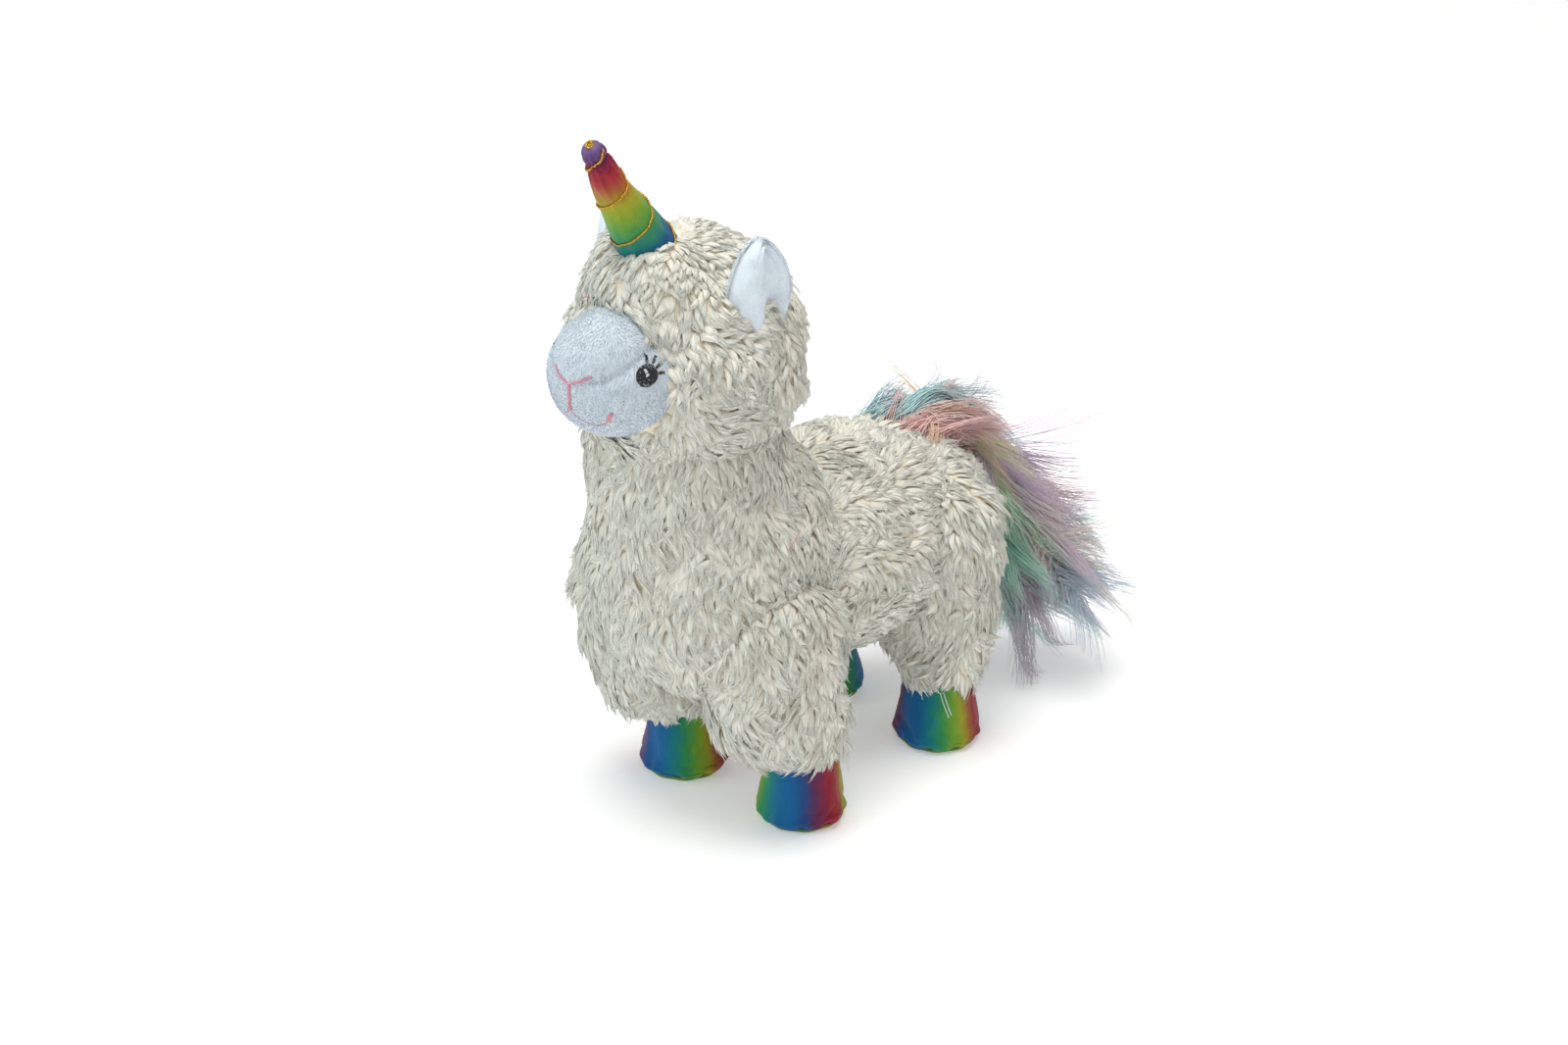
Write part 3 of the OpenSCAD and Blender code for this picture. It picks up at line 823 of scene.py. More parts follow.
GUSSET = half_size("crown_gusset")[0]
head_regions = {
    "head_fleece_left": lambda p: p[:, 0] > GUSSET,
    "head_fleece_right": lambda p: p[:, 0] < -GUSSET,
    "crown_gusset_fleece": lambda p: abs(p[:, 0]) <= GUSSET,
}
head_pieces = fleece(HEAD_SKIN, SPACING, head_regions, head_comb, head_cut, 3, head_skip)
for name, nodes in (("head_fleece_left", ["head_cover_left"]), ("head_fleece_right", ["head_cover_right"]),
                    ("crown_gusset_fleece", ["crown_gusset", "head_stuffing"])):
    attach(head_pieces[name], "head")
    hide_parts(*nodes)


# ---------------------------------------------------------------- face
NOSE = np.array([0, -122.7, 187.1])
SEAM_RISE = 0.47


def above_seam(points):
    """Height over the seam that runs from the nose up past the eyes."""
    return (points[:, 2] - NOSE[2] - SEAM_RISE * (points[:, 1] - NOSE[1])) / math.hypot(1, SEAM_RISE)


def muzzle_surface():
    cloud = np.concatenate([ball_points((0, -88, 182.5), (25, 25, 25)),
                            ball_points(MUZZLE, [MUZZLE_R] * 3)])
    verts, quads = skin([cloud], 1.25, 3)
    verts = inflated(verts, quads, 0.8, growth=0.02)
    way = normals_of(verts, quads)
    gap = above_seam(verts)
    crease = -1.1 * np.exp(-(gap / 1.5) ** 2) * smoothstep(abs(verts[:, 0]), 4, 9)
    bulge = 0.9 * smoothstep(gap, 0.5, 7) * (1 - smoothstep(gap, 14, 24))
    nap = 0.10 * ripple(verts, 2.2, 31) + 0.35 * ripple(verts, 15, 32)
    return Surface(verts + (crease + bulge + nap)[:, None] * way, quads)


FACE = muzzle_surface()


def nap_piece(name, surface, inside, spacing, length, material, seed):
    """Short plush: the skin with a dense nap of very short fibres."""
    rng = rng_for(seed)
    root, normal = scatter(surface.verts, surface.quads, surface.normals, spacing, rng)
    mine = inside(root)
    root, normal = root[mine], normal[mine]
    flow = flat_to(np.tile([0.0, 0.25, -1.0], (len(root), 1)), normal)
    flow = swirl(flow, normal, 0.8 * ripple(root, 14, seed + 1))
    rings, sides = 3, 3
    t = np.linspace(0, 1, rings)[None, :]
    reach = rng.uniform(0.6, 1.2, (len(root), 1)) * length
    path = root[:, None] + (reach * t * 0.9)[..., None] * flow[:, None]
    path = path + ((reach * 0.55 * np.sin(1.9 * t)) - 0.1)[..., None] * normal[:, None]
    side = np.broadcast_to(np.cross(normal, flow)[:, None], path.shape)
    up = np.cross(ways_along(path), side)
    fine = np.broadcast_to(0.2 * (1 - 0.9 * t), (len(root), rings))
    grid = tube_grid(path, side, up, fine, fine, sides)
    face_middle = surface.verts[surface.quads].mean(1)
    return fleece_piece(name, cut_out(surface.verts, surface.quads, inside(face_middle)),
                        [(grid, np.broadcast_to(t[:, :, None], grid.shape[:3]), rng.random(len(root)))],
                        material)


def in_face(points):
    return points[:, 1] < -88


for name, node, inside in (
        ("muzzle_upper_plush", "muzzle_upper_panel", lambda p: in_face(p) & (above_seam(p) >= 0)),
        ("muzzle_lower_plush", "muzzle_lower_panel", lambda p: in_face(p) & (above_seam(p) < 0))):
    piece = nap_piece(name, FACE, inside, 0.75, 1.0, PLUSH, 41)
    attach(piece, "head")
    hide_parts(node)
    if node == "muzzle_upper_panel":
        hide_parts("muzzle_stuffing")


# ---------------------------------------------------------------- embroidery
def sewn(name, lines, radius, material, surface, nodes=(), lift=0.25):
    """Threads laid on the face. Each line of points becomes one strand that bows up a little."""
    rings, sides = 9, 6
    paths = []
    for line in lines:
        line = np.asarray(line, float)
        step = np.concatenate([[0], np.cumsum(np.linalg.norm(np.diff(line, axis=0), axis=1))])
        at = np.linspace(0, step[-1], rings)
        paths.append(np.stack([np.interp(at, step, line[:, k]) for k in range(3)], 1))
    paths = np.array(paths)
    spots, ways = surface.onto(paths.reshape(-1, 3))
    spots, ways = spots.reshape(paths.shape), ways.reshape(paths.shape)
    t = np.linspace(0, 1, rings)[None, :]
    thick = np.broadcast_to(radius * (0.35 + 0.65 * np.sin(math.pi * t) ** 0.4), spots.shape[:2])
    path = spots + (lift * np.sin(math.pi * t) ** 0.5 - 0.15)[..., None] * ways
    way = ways_along(path)
    side = unit(np.cross(ways, way))
    grid = tube_grid(path, side, np.cross(way, side), thick, 0.8 * thick, sides)
    tube_piece(name, grid, material, "head", nodes)


def oval_rows(middle_point, right, up, wide, tall, lean, pitch):
    """Parallel threads that fill an oval, as in satin stitch."""
    c, s = math.cos(lean), math.sin(lean)
    along, across = c * right + s * up, -s * right + c * up
    count = max(2, int(round(2 * tall / pitch)))
    rows = []
    for k in range(count):
        v = (k + 0.5) / count * 2 - 1
        half = wide * math.sqrt(max(0.0, 1 - v * v * 0.97))
        rows.append([middle_point + across * v * tall + along * x for x in np.linspace(-half, half, 5)])
    return rows


def eye_frame(side):
    """The eye's place on the face, with the directions that run back and up from it."""
    spot, way = FACE.onto(np.array([[side * 20.6, -105.7, 190.2]]))
    back = flat_to(np.array([[0.0, 1.0, 0.0]]), way)[0]
    return spot[0], back, flat_to(np.array([[0.0, 0.0, 1.0]]), way)[0]


EYE_R = 4.2
for side, label in ((1, "left"), (-1, "right")):
    spot, back, up = eye_frame(side)
    raised = Surface(FACE.verts + 0.45 * FACE.normals, FACE.quads)
    sewn(f"{label}_eye_satin_stitch", oval_rows(spot, back, up, EYE_R, EYE_R, 1.2, 0.36), 0.27, BLACK, FACE,
         [f"{label}_eye"], 0.45)
    sparkle = oval_rows(spot - 0.5 * back + 1.6 * up, back, up, 0.9, 0.45, 1.9, 0.3)
    sparkle += oval_rows(spot - 0.1 * back + 0.2 * up, back, up, 0.75, 0.4, 0.2, 0.3)
    sewn(f"{label}_eye_glint_stitch", sparkle, 0.16, WHITE, raised,
         [f"{label}_eye_glint"], 0.35)
    lashes = []
    for degrees in (78, 47, 18, -10):
        a = math.radians(degrees)
        out = math.cos(a) * back + math.sin(a) * up
        lashes += oval_rows(spot + out * (EYE_R + 1.1), back, up, 1.5, 0.42, a, 0.3)
        for fork in (-0.5, 0.5):
            b = a + fork
            tip = spot + out * (EYE_R + 2.1)
            lashes.append([tip, tip + 0.9 * (math.cos(b) * back + math.sin(b) * up)])
    sewn(f"{label}_eyelash_stitch", lashes, 0.26, BLACK, FACE,
         [f"{label}_eyelashes"], 0.3)


def curve_points(points, count):
    """A smooth curve through given points."""
    p = np.array(points, float)
    p = np.vstack([2 * p[0] - p[1], p, 2 * p[-1] - p[-2]])
    t = np.linspace(0, len(p) - 3 - 1e-6, count)
    i, f = t.astype(int), (t % 1)[:, None]
    a, b, c, d = p[i], p[i + 1], p[i + 2], p[i + 3]
    square, cube = 2 * a - 5 * b + 4 * c - d, 3 * b - a - 3 * c + d
    return 0.5 * (2 * b + (c - a) * f + square * f ** 2 + cube * f ** 3)


def stitches(points, length, overlap=0.25):
    """A line of back stitches along a curve."""
    dense = curve_points(points, 200)
    run = np.concatenate([[0], np.cumsum(np.linalg.norm(np.diff(dense, axis=0), axis=1))])
    count = max(1, int(round(run[-1] / length)))
    lines = []
    for k in range(count):
        low, high = (k - overlap) / count * run[-1], (k + 1 + overlap) / count * run[-1]
        at = np.clip(np.linspace(low, high, 5), 0, run[-1])
        lines.append(np.stack([np.interp(at, run, dense[:, j]) for j in range(3)], 1))
    return lines


def mirrored(points):
    return [np.array(p) * [-1, 1, 1] for p in points]


NOSE_ARM = [(0.3, -122.7, 187.0), (3.2, -122.3, 187.9), (6.0, -121.3, 189.2), (8.8, -120.0, 190.6)]
LIP = [(0.0, -122.8, 187.1), (0.5, -123.2, 183.5), (0.2, -122.8, 180.2), (0.5, -122.0, 177.0)]
SMILE = [(0.5, -122.0, 177.0), (3.0, -121.3, 174.9), (5.8, -119.8, 173.5), (9.4, -117.8, 172.7),
         (12.3, -116.9, 174.1)]
CORNER = [(12.4, -116.8, 174.3), (13.6, -117.0, 176.3), (14.4, -117.1, 178.4)]
thick_lines = stitches(NOSE_ARM, 2.2) + stitches(LIP, 2.2)
thick_lines += [line + np.array([0.35, 0, 0.1]) for line in stitches(LIP, 2.6)]
thick_lines += stitches(mirrored(NOSE_ARM), 2.2)
thin_lines = []
for shape in (SMILE, mirrored(SMILE)):
    thin_lines += stitches(shape, 1.3)
for corner in (CORNER, mirrored(CORNER)):
    for shift in (-0.45, 0.0, 0.45):
        thick_lines += stitches([np.array(p) + [shift, 0, 0] for p in corner], 4.5)
sewn("nose_and_mouth_thick_thread", thick_lines, 0.42, PINK, FACE,
     ["nose_and_mouth_stitching"], 0.4)
sewn("nose_and_mouth_thin_thread", thin_lines, 0.24, PINK, FACE, (), 0.2)


# ---------------------------------------------------------------- ears
EAR_FOOT = PIVOTS["left_ear_flop"] + [0.5, -3.0, -11.0]
EAR_TURN = np.array(Matrix.Rotation(math.radians(-15), 3, "Z") @ Matrix.Rotation(math.radians(3), 3, "Y"))


def ear_mesh(side, inset, thickness, reach):
    """A folded leaf, closed all round. inset narrows it, and reach is how far it stands off the middle."""
    rows, columns = 26, 24
    v = np.linspace(0, 1, rows)
    u = np.linspace(-1, 1, columns)
    vv, uu = np.meshgrid(v, u, indexing="ij")
    half_wide = (11.8 - inset) * np.sin(math.pi * (0.16 + 0.84 * vv) ** 0.95) ** 0.6
    z = -4 + (31.5 - inset) * vv
    y = half_wide * uu
    cup = 2.7 * np.cos(3.5 * (uu + 0.42)) * (1 - 0.35 * vv) - 1.5 * vv ** 2
    edge = np.maximum(abs(uu), np.maximum(0, vv * 2 - 1)) ** 6
    puff = thickness / 2 * (1 - 0.75 * edge)
    sheets = []
    for sign in (1, -1):
        x = cup + sign * puff + reach
        points = np.stack([x, y, z], -1).reshape(-1, 3) @ EAR_TURN.T + EAR_FOOT
        points[:, 0] *= side
        sheets.append(points)
    index = np.arange(rows * columns).reshape(rows, columns)
    quads = np.stack([index[:-1, :-1], index[1:, :-1], index[1:, 1:], index[:-1, 1:]], -1).reshape(-1, 4)
    rim = np.concatenate([index[0], index[1:, -1], index[-1, -2::-1], index[-2:0:-1, 0]])
    step = np.roll(rim, -1)
    over = rows * columns
    wall = np.stack([rim, step, step + over, rim + over], -1)
    quads = np.concatenate([quads[:, ::-1], quads + over, wall])
    return np.concatenate(sheets), quads[:, ::-1] if side > 0 else quads


def ear(side, label):
    for node, inset, thickness, reach in (("back", 0.0, 6.0, 0.0), ("front", 1.6, 3.4, 2.0)):
        verts, quads = ear_mesh(side, inset, thickness, reach)
        shape = Surface(verts, quads)
        verts = verts + (0.12 * ripple(verts, 5, 51))[:, None] * shape.normals
        # Both ear panels wear the paler plush, whose extra whiteness is painted light.
        piece = nap_piece(f"{label}_ear_{node}_plush", Surface(verts, quads), lambda p: p[:, 2] > 0, 0.75,
                          1.5, EAR_PLUSH_PAINTED_LIGHT, 52)
        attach(piece, f"{label}_ear")
        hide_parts(f"{label}_ear_{node}")


ear(1, "left")
ear(-1, "right")


# ---------------------------------------------------------------- horn
HORN_LEAN = math.radians(31)
HORN_AXIS = np.array([0, -math.sin(HORN_LEAN), math.cos(HORN_LEAN)])
HORN_SIDE = np.array([1.0, 0, 0])
HORN_FRONT = np.cross(HORN_AXIS, HORN_SIDE)
HORN_PRINT = ((0.0, (6, 74, 134)), (0.18, (6, 84, 132)), (0.25, (24, 122, 114)), (0.37, (70, 146, 66)),
              (0.48, (128, 160, 40)), (0.57, (164, 160, 34)), (0.66, (166, 100, 42)), (0.74, (164, 46, 52)),
              (0.83, (150, 22, 44)),
              (0.89, (104, 36, 78)), (0.95, (96, 64, 122)), (1.0, (118, 96, 140)))


def horn_radius(s):
    """Radius at a distance along the horn: a cone, a pinch, then the gathered knob."""
    cone = 10.3 - 6.0 * s / 46
    knob = 4.0 * np.sqrt(np.clip(1 - ((s - 48.8) / 4.3) ** 2, 0, 1))
    return np.where(s < 46, cone, np.maximum(knob, 0.25)) - 0.35 * np.exp(-((s - 45.6) / 1.0) ** 2)


def horn_point(s, angle, radius):
    return (HORN + HORN_AXIS * s[..., None] + radius[..., None]
            * (HORN_SIDE * np.cos(angle)[..., None] + HORN_FRONT * np.sin(angle)[..., None]))


def horn_sleeve():
    rings, sides = 84, 72
    round_it = np.linspace(0, 2 * math.pi, sides, endpoint=False)
    s, a = np.meshgrid(np.linspace(-3, 53, rings), round_it, indexing="ij")
    fold = 0.02 + 0.1 * smoothstep(s, 30, 48)
    waves = 0.5 * np.cos(5 * a + 0.04 * s) + 0.35 * np.cos(9 * a + 1.3 + 0.05 * s) + 0.25 * np.cos(14 * a + 2)
    places = np.stack([s, 6 * np.cos(a), 6 * np.sin(a)], -1)
    dent = 0.25 * ripple(places.reshape(-1, 3), 16, 61).reshape(s.shape)
    radius = horn_radius(s) * (1 + fold * waves) + dent * smoothstep(-s, -47, -44)
    verts = horn_point(s, a, radius).reshape(-1, 3)
    quads, _, caps, cap_uv = tube_faces(1, rings, sides)
    verts = inflated(verts, quads, 0.8, 3.0, 0.03, (s.ravel() < 1) | (s.ravel() > 44))
    ring, share = print_map(rings, sides)
    uv = np.stack([ring / (rings - 1), share], -1)
    piece = make("horn_satin_sleeve", verts, [quads, caps], satin_material("horn_satin", HORN_PRINT, False),
                 [uv, cap_uv])
    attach(piece, "horn")
    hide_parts("horn_sleeve", "horn_stuffing")
    return Surface(verts, quads)


HORN_SURFACE = horn_sleeve()


def twisted_cord(name, path, normal, strand_r, pitch, node):
    """Two plies twisted round a path."""
    way = unit(np.gradient(path, axis=0))
    side = unit(normal - (normal * way).sum(-1, keepdims=True) * way)
    up = np.cross(way, side)
    run = np.concatenate([[0], np.cumsum(np.linalg.norm(np.diff(path, axis=0), axis=1))])
    plies = []
    for k in range(2):
        a = (2 * math.pi * run / pitch + math.pi * k)[:, None]
        plies.append(path + 0.75 * strand_r * (np.cos(a) * side + np.sin(a) * up))
    grid = thread_grid(np.array(plies), side, strand_r, 6)
    tube_piece(name, grid, GOLD, "horn", [node])


CORD_PITCH = 16.0
CORD_START = math.radians(66)
cord_s = np.linspace(2.0, 50.6, 420)
cord_angle = CORD_START + 2 * math.pi * (cord_s - 4.5) / CORD_PITCH
spots, ways = HORN_SURFACE.onto(horn_point(cord_s, cord_angle, horn_radius(cord_s) + 0.35))
twisted_cord("horn_gold_cord", spots + 0.3 * ways, ways, 0.25, 1.9, "horn_cord")

knot_angle = np.linspace(0, 5 * math.pi, 90)
knot_s = 52.4 + 0.16 * knot_angle / math.pi
knot_path = horn_point(knot_s, knot_angle, 1.0 + 0.25 * np.sin(2.3 * knot_angle))
twisted_cord("horn_tip_knot", knot_path, np.tile(HORN_AXIS, (len(knot_path), 1)), 0.3, 2.4, "horn_tip_gather")


# ---------------------------------------------------------------- hooves
# Where the print starts round each hoof, as shares of a repeat, and which way it runs
HOOF_PRINTS = {"front_left": (0.738, -2), "front_right": (0.082, 2), "hind_left": (0.082, 2),
               "hind_right": (0.35, -2)}
# The angle round a hoof that points to the camera's left, where the shares are counted from
VIEW_LEFT = math.atan2(-0.656, -0.755)
# Height and radius down the outside of a hoof, from inside the leg to the edge of the sole
HOOF_OUTLINE = [(38, 11.9), (30, 12.2), (25, 12.4), (20, 13.0), (14, 13.9), (9, 14.8), (6, 15.4), (4.4, 15.5),
                (3.2, 15.2), (2.0, 14.4), (1.1, 13.6), (0.6, 12.6)]
# Radius and height across a sole, from its middle on top, over the rolled edge, to its middle underneath
SOLE_OUTLINE = [(0.05, 1.4), (8.0, 1.5), (12.6, 1.6), (13.6, 1.3), (13.9, 0.8), (13.5, 0.3), (12.4, 0.0),
                (0.05, 0.0)]
HOOF_SIDES = 72
HOOF_HELD = (1.4, 26)


def hoof(leg, number):
    """A satin sleeve, puckered where it is gathered onto its sole."""
    spot = middle(f"{leg}_hoof_sleeve")
    line = curve_points([(r, z, 0) for z, r in HOOF_OUTLINE], 46)
    a = np.linspace(0, 2 * math.pi, HOOF_SIDES, endpoint=False)
    r, z = line[:, 0][:, None], line[:, 1][:, None]
    low = smoothstep(-z, -9, -2)
    pucker = low * (0.03 * np.cos(9 * a + number) + 0.018 * np.cos(17 * a + 2 * number))
    soft = 0.012 * np.cos(2 * a + number) + 0.008 * np.cos(5 * a + 3 * number)
    dents = 0.012 * np.sin(3 * a + 0.3 * z + number)
    rr = r * (1 + pucker + soft + dents)
    zz = np.broadcast_to(z, rr.shape) + low * 0.5 * np.cos(9 * a + number + 1)
    verts = np.stack([spot[0] + rr * np.cos(a), spot[1] + rr * np.sin(a), np.maximum(zz, 0.15)], -1)
    verts = verts.reshape(-1, 3)
    quads = tube_faces(1, len(line), HOOF_SIDES)[0][:, ::-1]
    held = (verts[:, 2] > HOOF_HELD[1]) | (verts[:, 2] < HOOF_HELD[0])
    verts = inflated(verts, quads, 0.7, 3.0, 0.03, held)
    verts[:, 2] = np.maximum(verts[:, 2], 0.1)
    phase, turn = HOOF_PRINTS[leg]
    ring, share = print_map(len(line), HOOF_SIDES)
    uv = np.stack([phase + turn * (share - VIEW_LEFT / (2 * math.pi)), ring / len(line)], -1)
    piece = make(f"{leg}_hoof_satin", verts, [quads], HOOF_SATIN, [uv[..., ::-1, :]])
    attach(piece, f"{leg}_leg")
    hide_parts(f"{leg}_hoof_sleeve")
    hoof_sole(leg, spot, number)


def hoof_sole(leg, spot, number):
    """A flat disc with a rolled, stitched edge."""
    a = np.linspace(0, 2 * math.pi, HOOF_SIDES, endpoint=False)
    rings = []
    for r, z in SOLE_OUTLINE:
        wave = 1 + 0.02 * np.cos(9 * a + number) * (r > 10)
        x, y = spot[0] + r * wave * np.cos(a), spot[1] + r * wave * np.sin(a)
        rings.append(np.stack([x, y, 0 * a + z], -1))
    verts = np.concatenate(rings)
    quads, uv, caps, cap_uv = tube_faces(1, len(SOLE_OUTLINE), HOOF_SIDES)
    piece = make(f"{leg}_hoof_sole_disc", verts, [quads[:, ::-1], caps[:, ::-1]], SOLE, [uv, cap_uv])
    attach(piece, f"{leg}_leg")
    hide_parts(f"{leg}_hoof_sole")


for number, leg in enumerate(LEGS):
    hoof(leg, number)


# ---------------------------------------------------------------- tail
# The tail's backing runs along this curve, and the fur lies along it and past its end.
SPINE = TAIL + np.array([[0, -12, 1], [1, 7, 0], [4, 18, -12], [9, 28, -33], [15, 36, -56], [21, 42, -72],
                         [29, 50, -86]])
HAIR_SIDES = 3
# How far the fur may reach, to its left and back
FUR_LIMITS = [63.5, 138.5]
PLUME = [5.0, 8.0, 10.5, 13.5, 16.0, 17.5, 17.0]
# The dyes down the middle of the near side, and those along the outer edge, as (share of length, colour)
DYES = ((0.0, (250, 214, 206)), (0.1, (252, 204, 194)), (0.16, (246, 224, 166)), (0.28, (250, 240, 158)),
        (0.36, (178, 232, 186)), (0.6, (158, 230, 200)), (0.72, (190, 230, 226)), (0.82, (240, 200, 222)),
        (0.9, (196, 228, 228)), (1.0, (184, 222, 226)))
EDGE_DYES = ((0.0, (190, 226, 228)), (0.14, (182, 222, 226)), (0.24, (246, 208, 208)),
             (0.34, (224, 212, 236)), (0.52, (232, 206, 228)), (0.64, (246, 224, 190)),
             (0.74, (220, 208, 232)), (0.88, (192, 228, 228)), (1.0, (180, 216, 224)))


def spine_at(s):
    """Point, direction and plume radius at a share of the tail's length, which may run past its end."""
    dense = curve_points(SPINE, 300)
    way = np.gradient(dense, axis=0)
    t = np.clip(s, 0, 1) * 299
    base = np.stack([np.interp(t, np.arange(300), dense[:, k]) for k in range(3)], -1)
    ahead = unit(np.stack([np.interp(t, np.arange(300), way[:, k]) for k in range(3)], -1))
    past = np.maximum(s - 1, 0)[..., None] * 130
    radius = np.interp(np.clip(s, 0, 1), np.linspace(0, 1, len(PLUME)), PLUME)
    return base + past * ahead, ahead, radius


def dye_at(s, ring):
    """The pastel bands, shifted round the plume so that they run slanted."""
    centre = math.radians(68) + math.radians(30) * (1 - smoothstep(s, 0.08, 0.3))
    share = smoothstep(np.cos(ring - centre), -0.05, 0.6)[..., None]
    found = []
    for dyes in (DYES, EDGE_DYES):
        places = [place for place, _ in dyes]
        colours = np.array([rgb(*colour)[:3] for _, colour in dyes])
        found.append(np.stack([np.interp(s, places, colours[:, k]) for k in range(3)], -1))
    return found[0] * (1 - share) + found[1] * share


def fur_piece(name, path, facing, radius, tint, nodes=()):
    """Tapering hairs in their own dye. tint has a colour for each ring of each hair."""
    grid = thread_grid(path, facing, radius, HAIR_SIDES)
    colour = np.repeat(tint[:, :, None, :], HAIR_SIDES, 2).reshape(-1, 3)
    tube_piece(name, grid, HAIR, "tail", nodes, {"dye": np.clip(colour, 0, 1)})


def tail_hair(name, starts, count, per, seed, nodes=(), wild=1.0):
    """Wisps of long fur. Each clump's hairs start apart and draw together, and wild makes them stand off."""
    rng = rng_for(seed)
    rings = 12
    s0 = rng.uniform(*starts, count)
    ring = rng.uniform(0, 2 * math.pi, count)
    reach = rng.uniform(0.22, 0.42, count) * (1 - 0.3 * s0)
    flare = rng.uniform(0.75, 1.25, count) + wild * rng.exponential(0.16, count)
    bend = rng.normal(0, 0.35, count) * wild
    flick = rng.normal(0, 3.8 * wild, (count, 3))
    clump = np.repeat(np.arange(count), per)
    n = len(clump)
    t = np.linspace(0, 1, rings)[None, :]
    draw = 1 - 0.8 * t ** 0.8
    start = np.clip(s0[clump] + rng.normal(0, 0.02, n), 0, 1)[:, None]
    s = start + (reach[clump] * rng.uniform(0.7, 1.15, n))[:, None] * t
    turn = ring[clump][:, None] + rng.normal(0, 0.24, (n, 1)) * draw + bend[clump][:, None] * t ** 1.5
    base, way, radius = spine_at(s)
    side = unit(np.cross(way, np.array([0.0, 0.3, 1.0])))
    up = np.cross(side, way)
    lie = 0.4 + (0.7 * flare[clump][:, None] - 0.12 * rng.random((n, 1))) * t ** 0.75
    out = radius * (lie + 0.07 * np.sin(6 * t + rng.uniform(0, 6.3, (n, 1))))
    path = base + out[..., None] * (np.cos(turn)[..., None] * side + np.sin(turn)[..., None] * up)
    path = path + (t ** 2)[..., None] * flick[clump][:, None] * 1.6
    path = path + rng.normal(0, 0.7, (n, 1, 3)) * draw[..., None]
    path[..., 2] = np.maximum(path[..., 2], 2.0 + 2 * rng.random((n, 1)))
    path[..., :2] = np.minimum(path[..., :2], FUR_LIMITS)
    born = dye_at(s0[clump], ring[clump])[:, None]
    tint = (born * 0.65 + 0.35 * dye_at(s, turn)) * rng.uniform(0.9, 1.08, (n, 1, 1))
    fur_piece(name, path, up, 0.21 * (1 - 0.8 * t ** 1.5), tint, nodes)


def tail_backing():
    """The knit core that the fur grows on."""
    rings, sides = 40, 20
    s = np.linspace(0.04, 0.86, rings)
    base, way, radius = spine_at(s)
    side = unit(np.cross(way, np.array([0.0, 0.3, 1.0])))
    up = np.cross(side, way)
    end = np.sqrt(np.clip(1 - ((s - 0.45) / 0.42) ** 4, 0.02, 1))
    thick = (radius * 0.5 * end)[None]
    grid = tube_grid(base[None], side[None], up[None], thick, thick, sides)
    verts = grid.reshape(-1, 3)
    quads, uv, caps, cap_uv = tube_faces(1, rings, sides)
    verts = verts + (0.5 * ripple(verts, 12, 71))[:, None] * normals_of(verts, quads)
    piece = make("tail_knit_backing", verts, [quads, caps], KNIT, [uv, cap_uv])
    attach(piece, "tail")
    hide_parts("tail_backing", "tail_root_ball")


def rump_hair(name, count, per, seed):
    """The fur at the tail's root, which leaves the rump's fleece and sweeps back and up in wisps."""
    rng = rng_for(seed)
    rings = 10
    x = rng.uniform(-11, 11, count)
    y = TAIL[1] + rng.uniform(-18, 12, count)
    from_top = np.stack([x, y, np.full(count, TAIL[2] + 30)], 1)
    roots = np.array([BODY.tree.ray_cast(Vector(p), Vector((0, 0, -1)))[0] for p in from_top])
    heading = np.stack([rng.normal(0.1, 0.3, count) + 0.02 * x, rng.uniform(0.5, 1.0, count),
                        rng.uniform(0.1, 0.75, count)], 1)
    reach = rng.uniform(16, 34, count)
    clump = np.repeat(np.arange(count), per)
    n = len(clump)
    t = np.linspace(0, 1, rings)[None, :]
    draw = 1 - 0.85 * t
    spread = rng.normal(0, 2.2, (n, 1, 3)) * draw[..., None]
    length = (reach[clump] * rng.uniform(0.7, 1.15, n))[:, None] * t
    path = roots[clump][:, None] + length[..., None] * unit(heading)[clump][:, None] + spread
    fall = rng.uniform(6, 20, count)[clump][:, None] * t ** 2.2
    path[..., 2] -= fall
    cool = smoothstep(-x + 8 * rng.random(count), 0, 6)[clump][:, None, None]
    salmon, mint, lilac = (np.array(rgb(*c)[:3]) for c in ((252, 206, 198), (186, 222, 226), (222, 208, 224)))
    tint = salmon * (1 - cool) + mint * cool
    tint = tint + (lilac - tint) * (0.5 * t ** 1.5)[..., None]
    tint = tint * rng.uniform(0.92, 1.06, (n, 1, 1))
    fur_piece(name, path, np.array([0.2, 0.1, 1.0]), 0.2 * (1 - 0.8 * t ** 1.5), tint)


tail_backing()
rump_hair("tail_fur_rump", 70, 34, 80)
tail_hair("tail_fur_root", (0.0, 0.14), 50, 40, 81, ["tail_plume"], 1.3)
tail_hair("tail_fur_upper", (0.12, 0.4), 62, 44, 82, (), 1.3)
tail_hair("tail_fur_middle", (0.36, 0.66), 62, 44, 83, (), 1.1)
tail_hair("tail_fur_tip", (0.6, 0.86), 54, 44, 84, (), 1.2)
tail_hair("tail_fur_flyaway", (0.05, 0.75), 46, 9, 85, (), 2.6)


# ---------------------------------------------------------------- threads and hidden seams
def strand(name, points, radius, material, body, slot, nodes=()):
    """One thin thread along a smooth curve."""
    path = curve_points(points, 24)[None]
    tube_piece(name, thread_grid(path, np.array([0.3, 0.5, 0.8]), radius, 6), material, body, nodes)


hoof_middle = middle("hind_left_hoof_sleeve")
for label, offsets in (("a", [(9.5, -10.5, 5.5), (10.8, -10.2, 1.5), (12.8, -9.4, -4.0)]),
                       ("b", [(10.3, -9.6, 5.5), (11.9, -9.2, 1.0), (13.4, -8.6, -3.2)])):
    strand(f"hind_left_loose_thread_{label}", hoof_middle + np.array(offsets), 0.2, WHITE, "hind_left_leg",
           "white_thread")
strand("belly_ladder_stitch", [(0, -20, 48.4), (0.6, -8, 48.0), (-0.6, 4, 48.0), (0, 16, 48.4)], 0.5, WHITE,
       "torso", "white_thread", ["belly_closing_seam"])


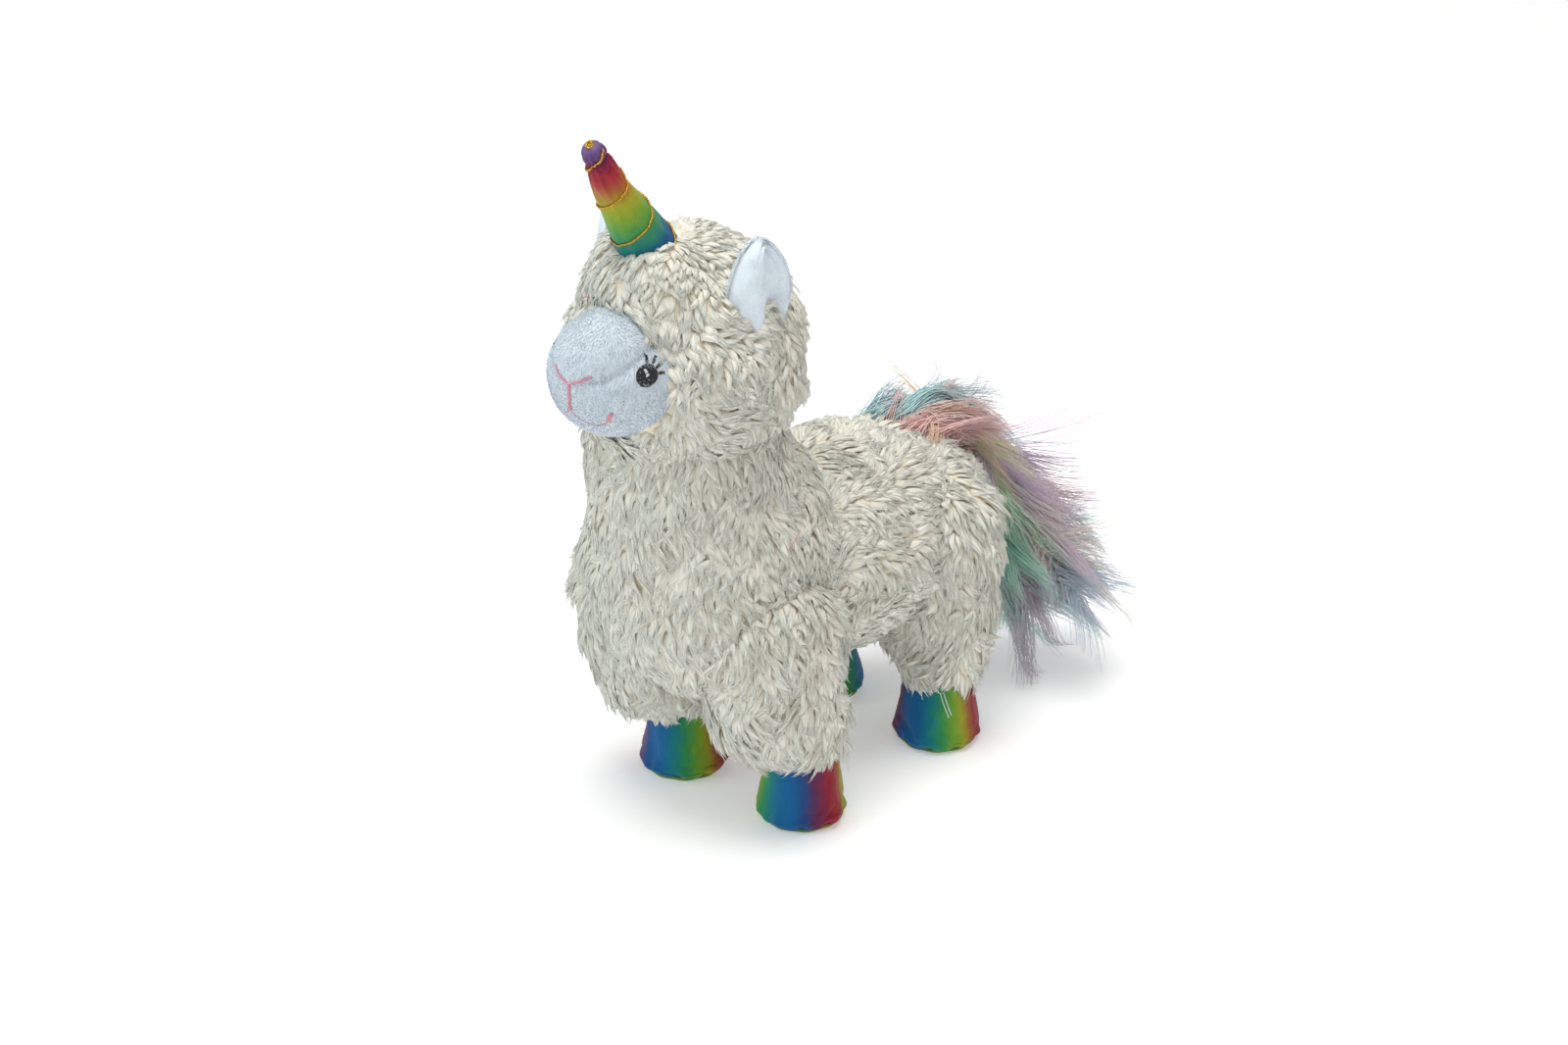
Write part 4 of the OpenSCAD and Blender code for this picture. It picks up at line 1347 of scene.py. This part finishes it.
def stray_thread(name, surface, points, body):
    """A loose end of pink thread caught in the fleece."""
    spots, ways = surface.onto(np.array(points, float))
    strand(name, spots + 3.0 * ways, 0.15, PINK, body, "pink_thread")


stray_thread("flank_stray_thread", BODY, [(36, -60, 117), (36, -58, 118.5), (36.5, -56, 119.2)], "torso")
stray_thread("forehead_stray_thread", HEAD_SKIN, [(-14, -98, 205), (-12, -98, 206.5), (-10.5, -98, 206)],
             "head")


# ---------------------------------------------------------------- floor, light and camera
def floor():
    reach = 4000
    m = new_material("studio_floor", 0.9)
    shader_of(m).inputs["Base Color"].default_value = (0.95, 0.95, 0.95, 1)
    shader_of(m).inputs["Emission Color"].default_value = (1, 1, 1, 1)
    shader_of(m).inputs["Emission Strength"].default_value = 0.26
    corners = [(-reach, -reach, 0), (reach, -reach, 0), (reach, reach, 0), (-reach, reach, 0)]
    make("studio_floor", corners, [np.array([[0, 1, 2, 3]])], m)


def area_light(name, place, target, size, power, colour):
    data = bpy.data.lights.new(name, "AREA")
    data.shape = "DISK"
    data.size = size
    data.energy = power
    data.color = colour
    obj = bpy.data.objects.new(name, data)
    obj.location = place
    obj.rotation_mode = "QUATERNION"
    obj.rotation_quaternion = (Vector(target) - Vector(place)).to_track_quat("-Z", "Y")
    bpy.context.scene.collection.objects.link(obj)


def lights():
    world = bpy.data.worlds.new("studio")
    world.use_nodes = True
    world.node_tree.nodes["Background"].inputs["Color"].default_value = (1, 1, 1, 1)
    world.node_tree.nodes["Background"].inputs["Strength"].default_value = 0.45
    bpy.context.scene.world = world
    target = (0, -0.02, 0.12)
    area_light("cool_front", (-0.7, -1.2, 0.75), target, 0.9, 4.5, (0.76, 0.94, 1.0))
    area_light("top", (0.1, -0.2, 1.5), target, 1.0, 15.5, (1.0, 0.99, 0.97))


CAMERA_AZIMUTH, CAMERA_ELEVATION = 41.0, 26.0


def camera():
    a, e = math.radians(CAMERA_AZIMUTH), math.radians(CAMERA_ELEVATION)
    back = Vector((math.sin(a) * math.cos(e), -math.cos(a) * math.cos(e), math.sin(e)))
    right = Vector((math.cos(a), math.sin(a), 0))
    up = back.cross(right)
    data = bpy.data.cameras.new("camera")
    data.sensor_width = 36
    data.lens = 94.5
    data.clip_start, data.clip_end = 0.05, 50
    obj = bpy.data.objects.new("camera", data)
    obj.location = back * 1.5 - right * 0.010 + up * 0.0825
    obj.rotation_mode = "QUATERNION"
    obj.rotation_quaternion = (-back).to_track_quat("-Z", "Y")
    bpy.context.scene.collection.objects.link(obj)
    bpy.context.scene.camera = obj


floor()
lights()
camera()
bpy.context.scene.view_settings.view_transform = "Standard"
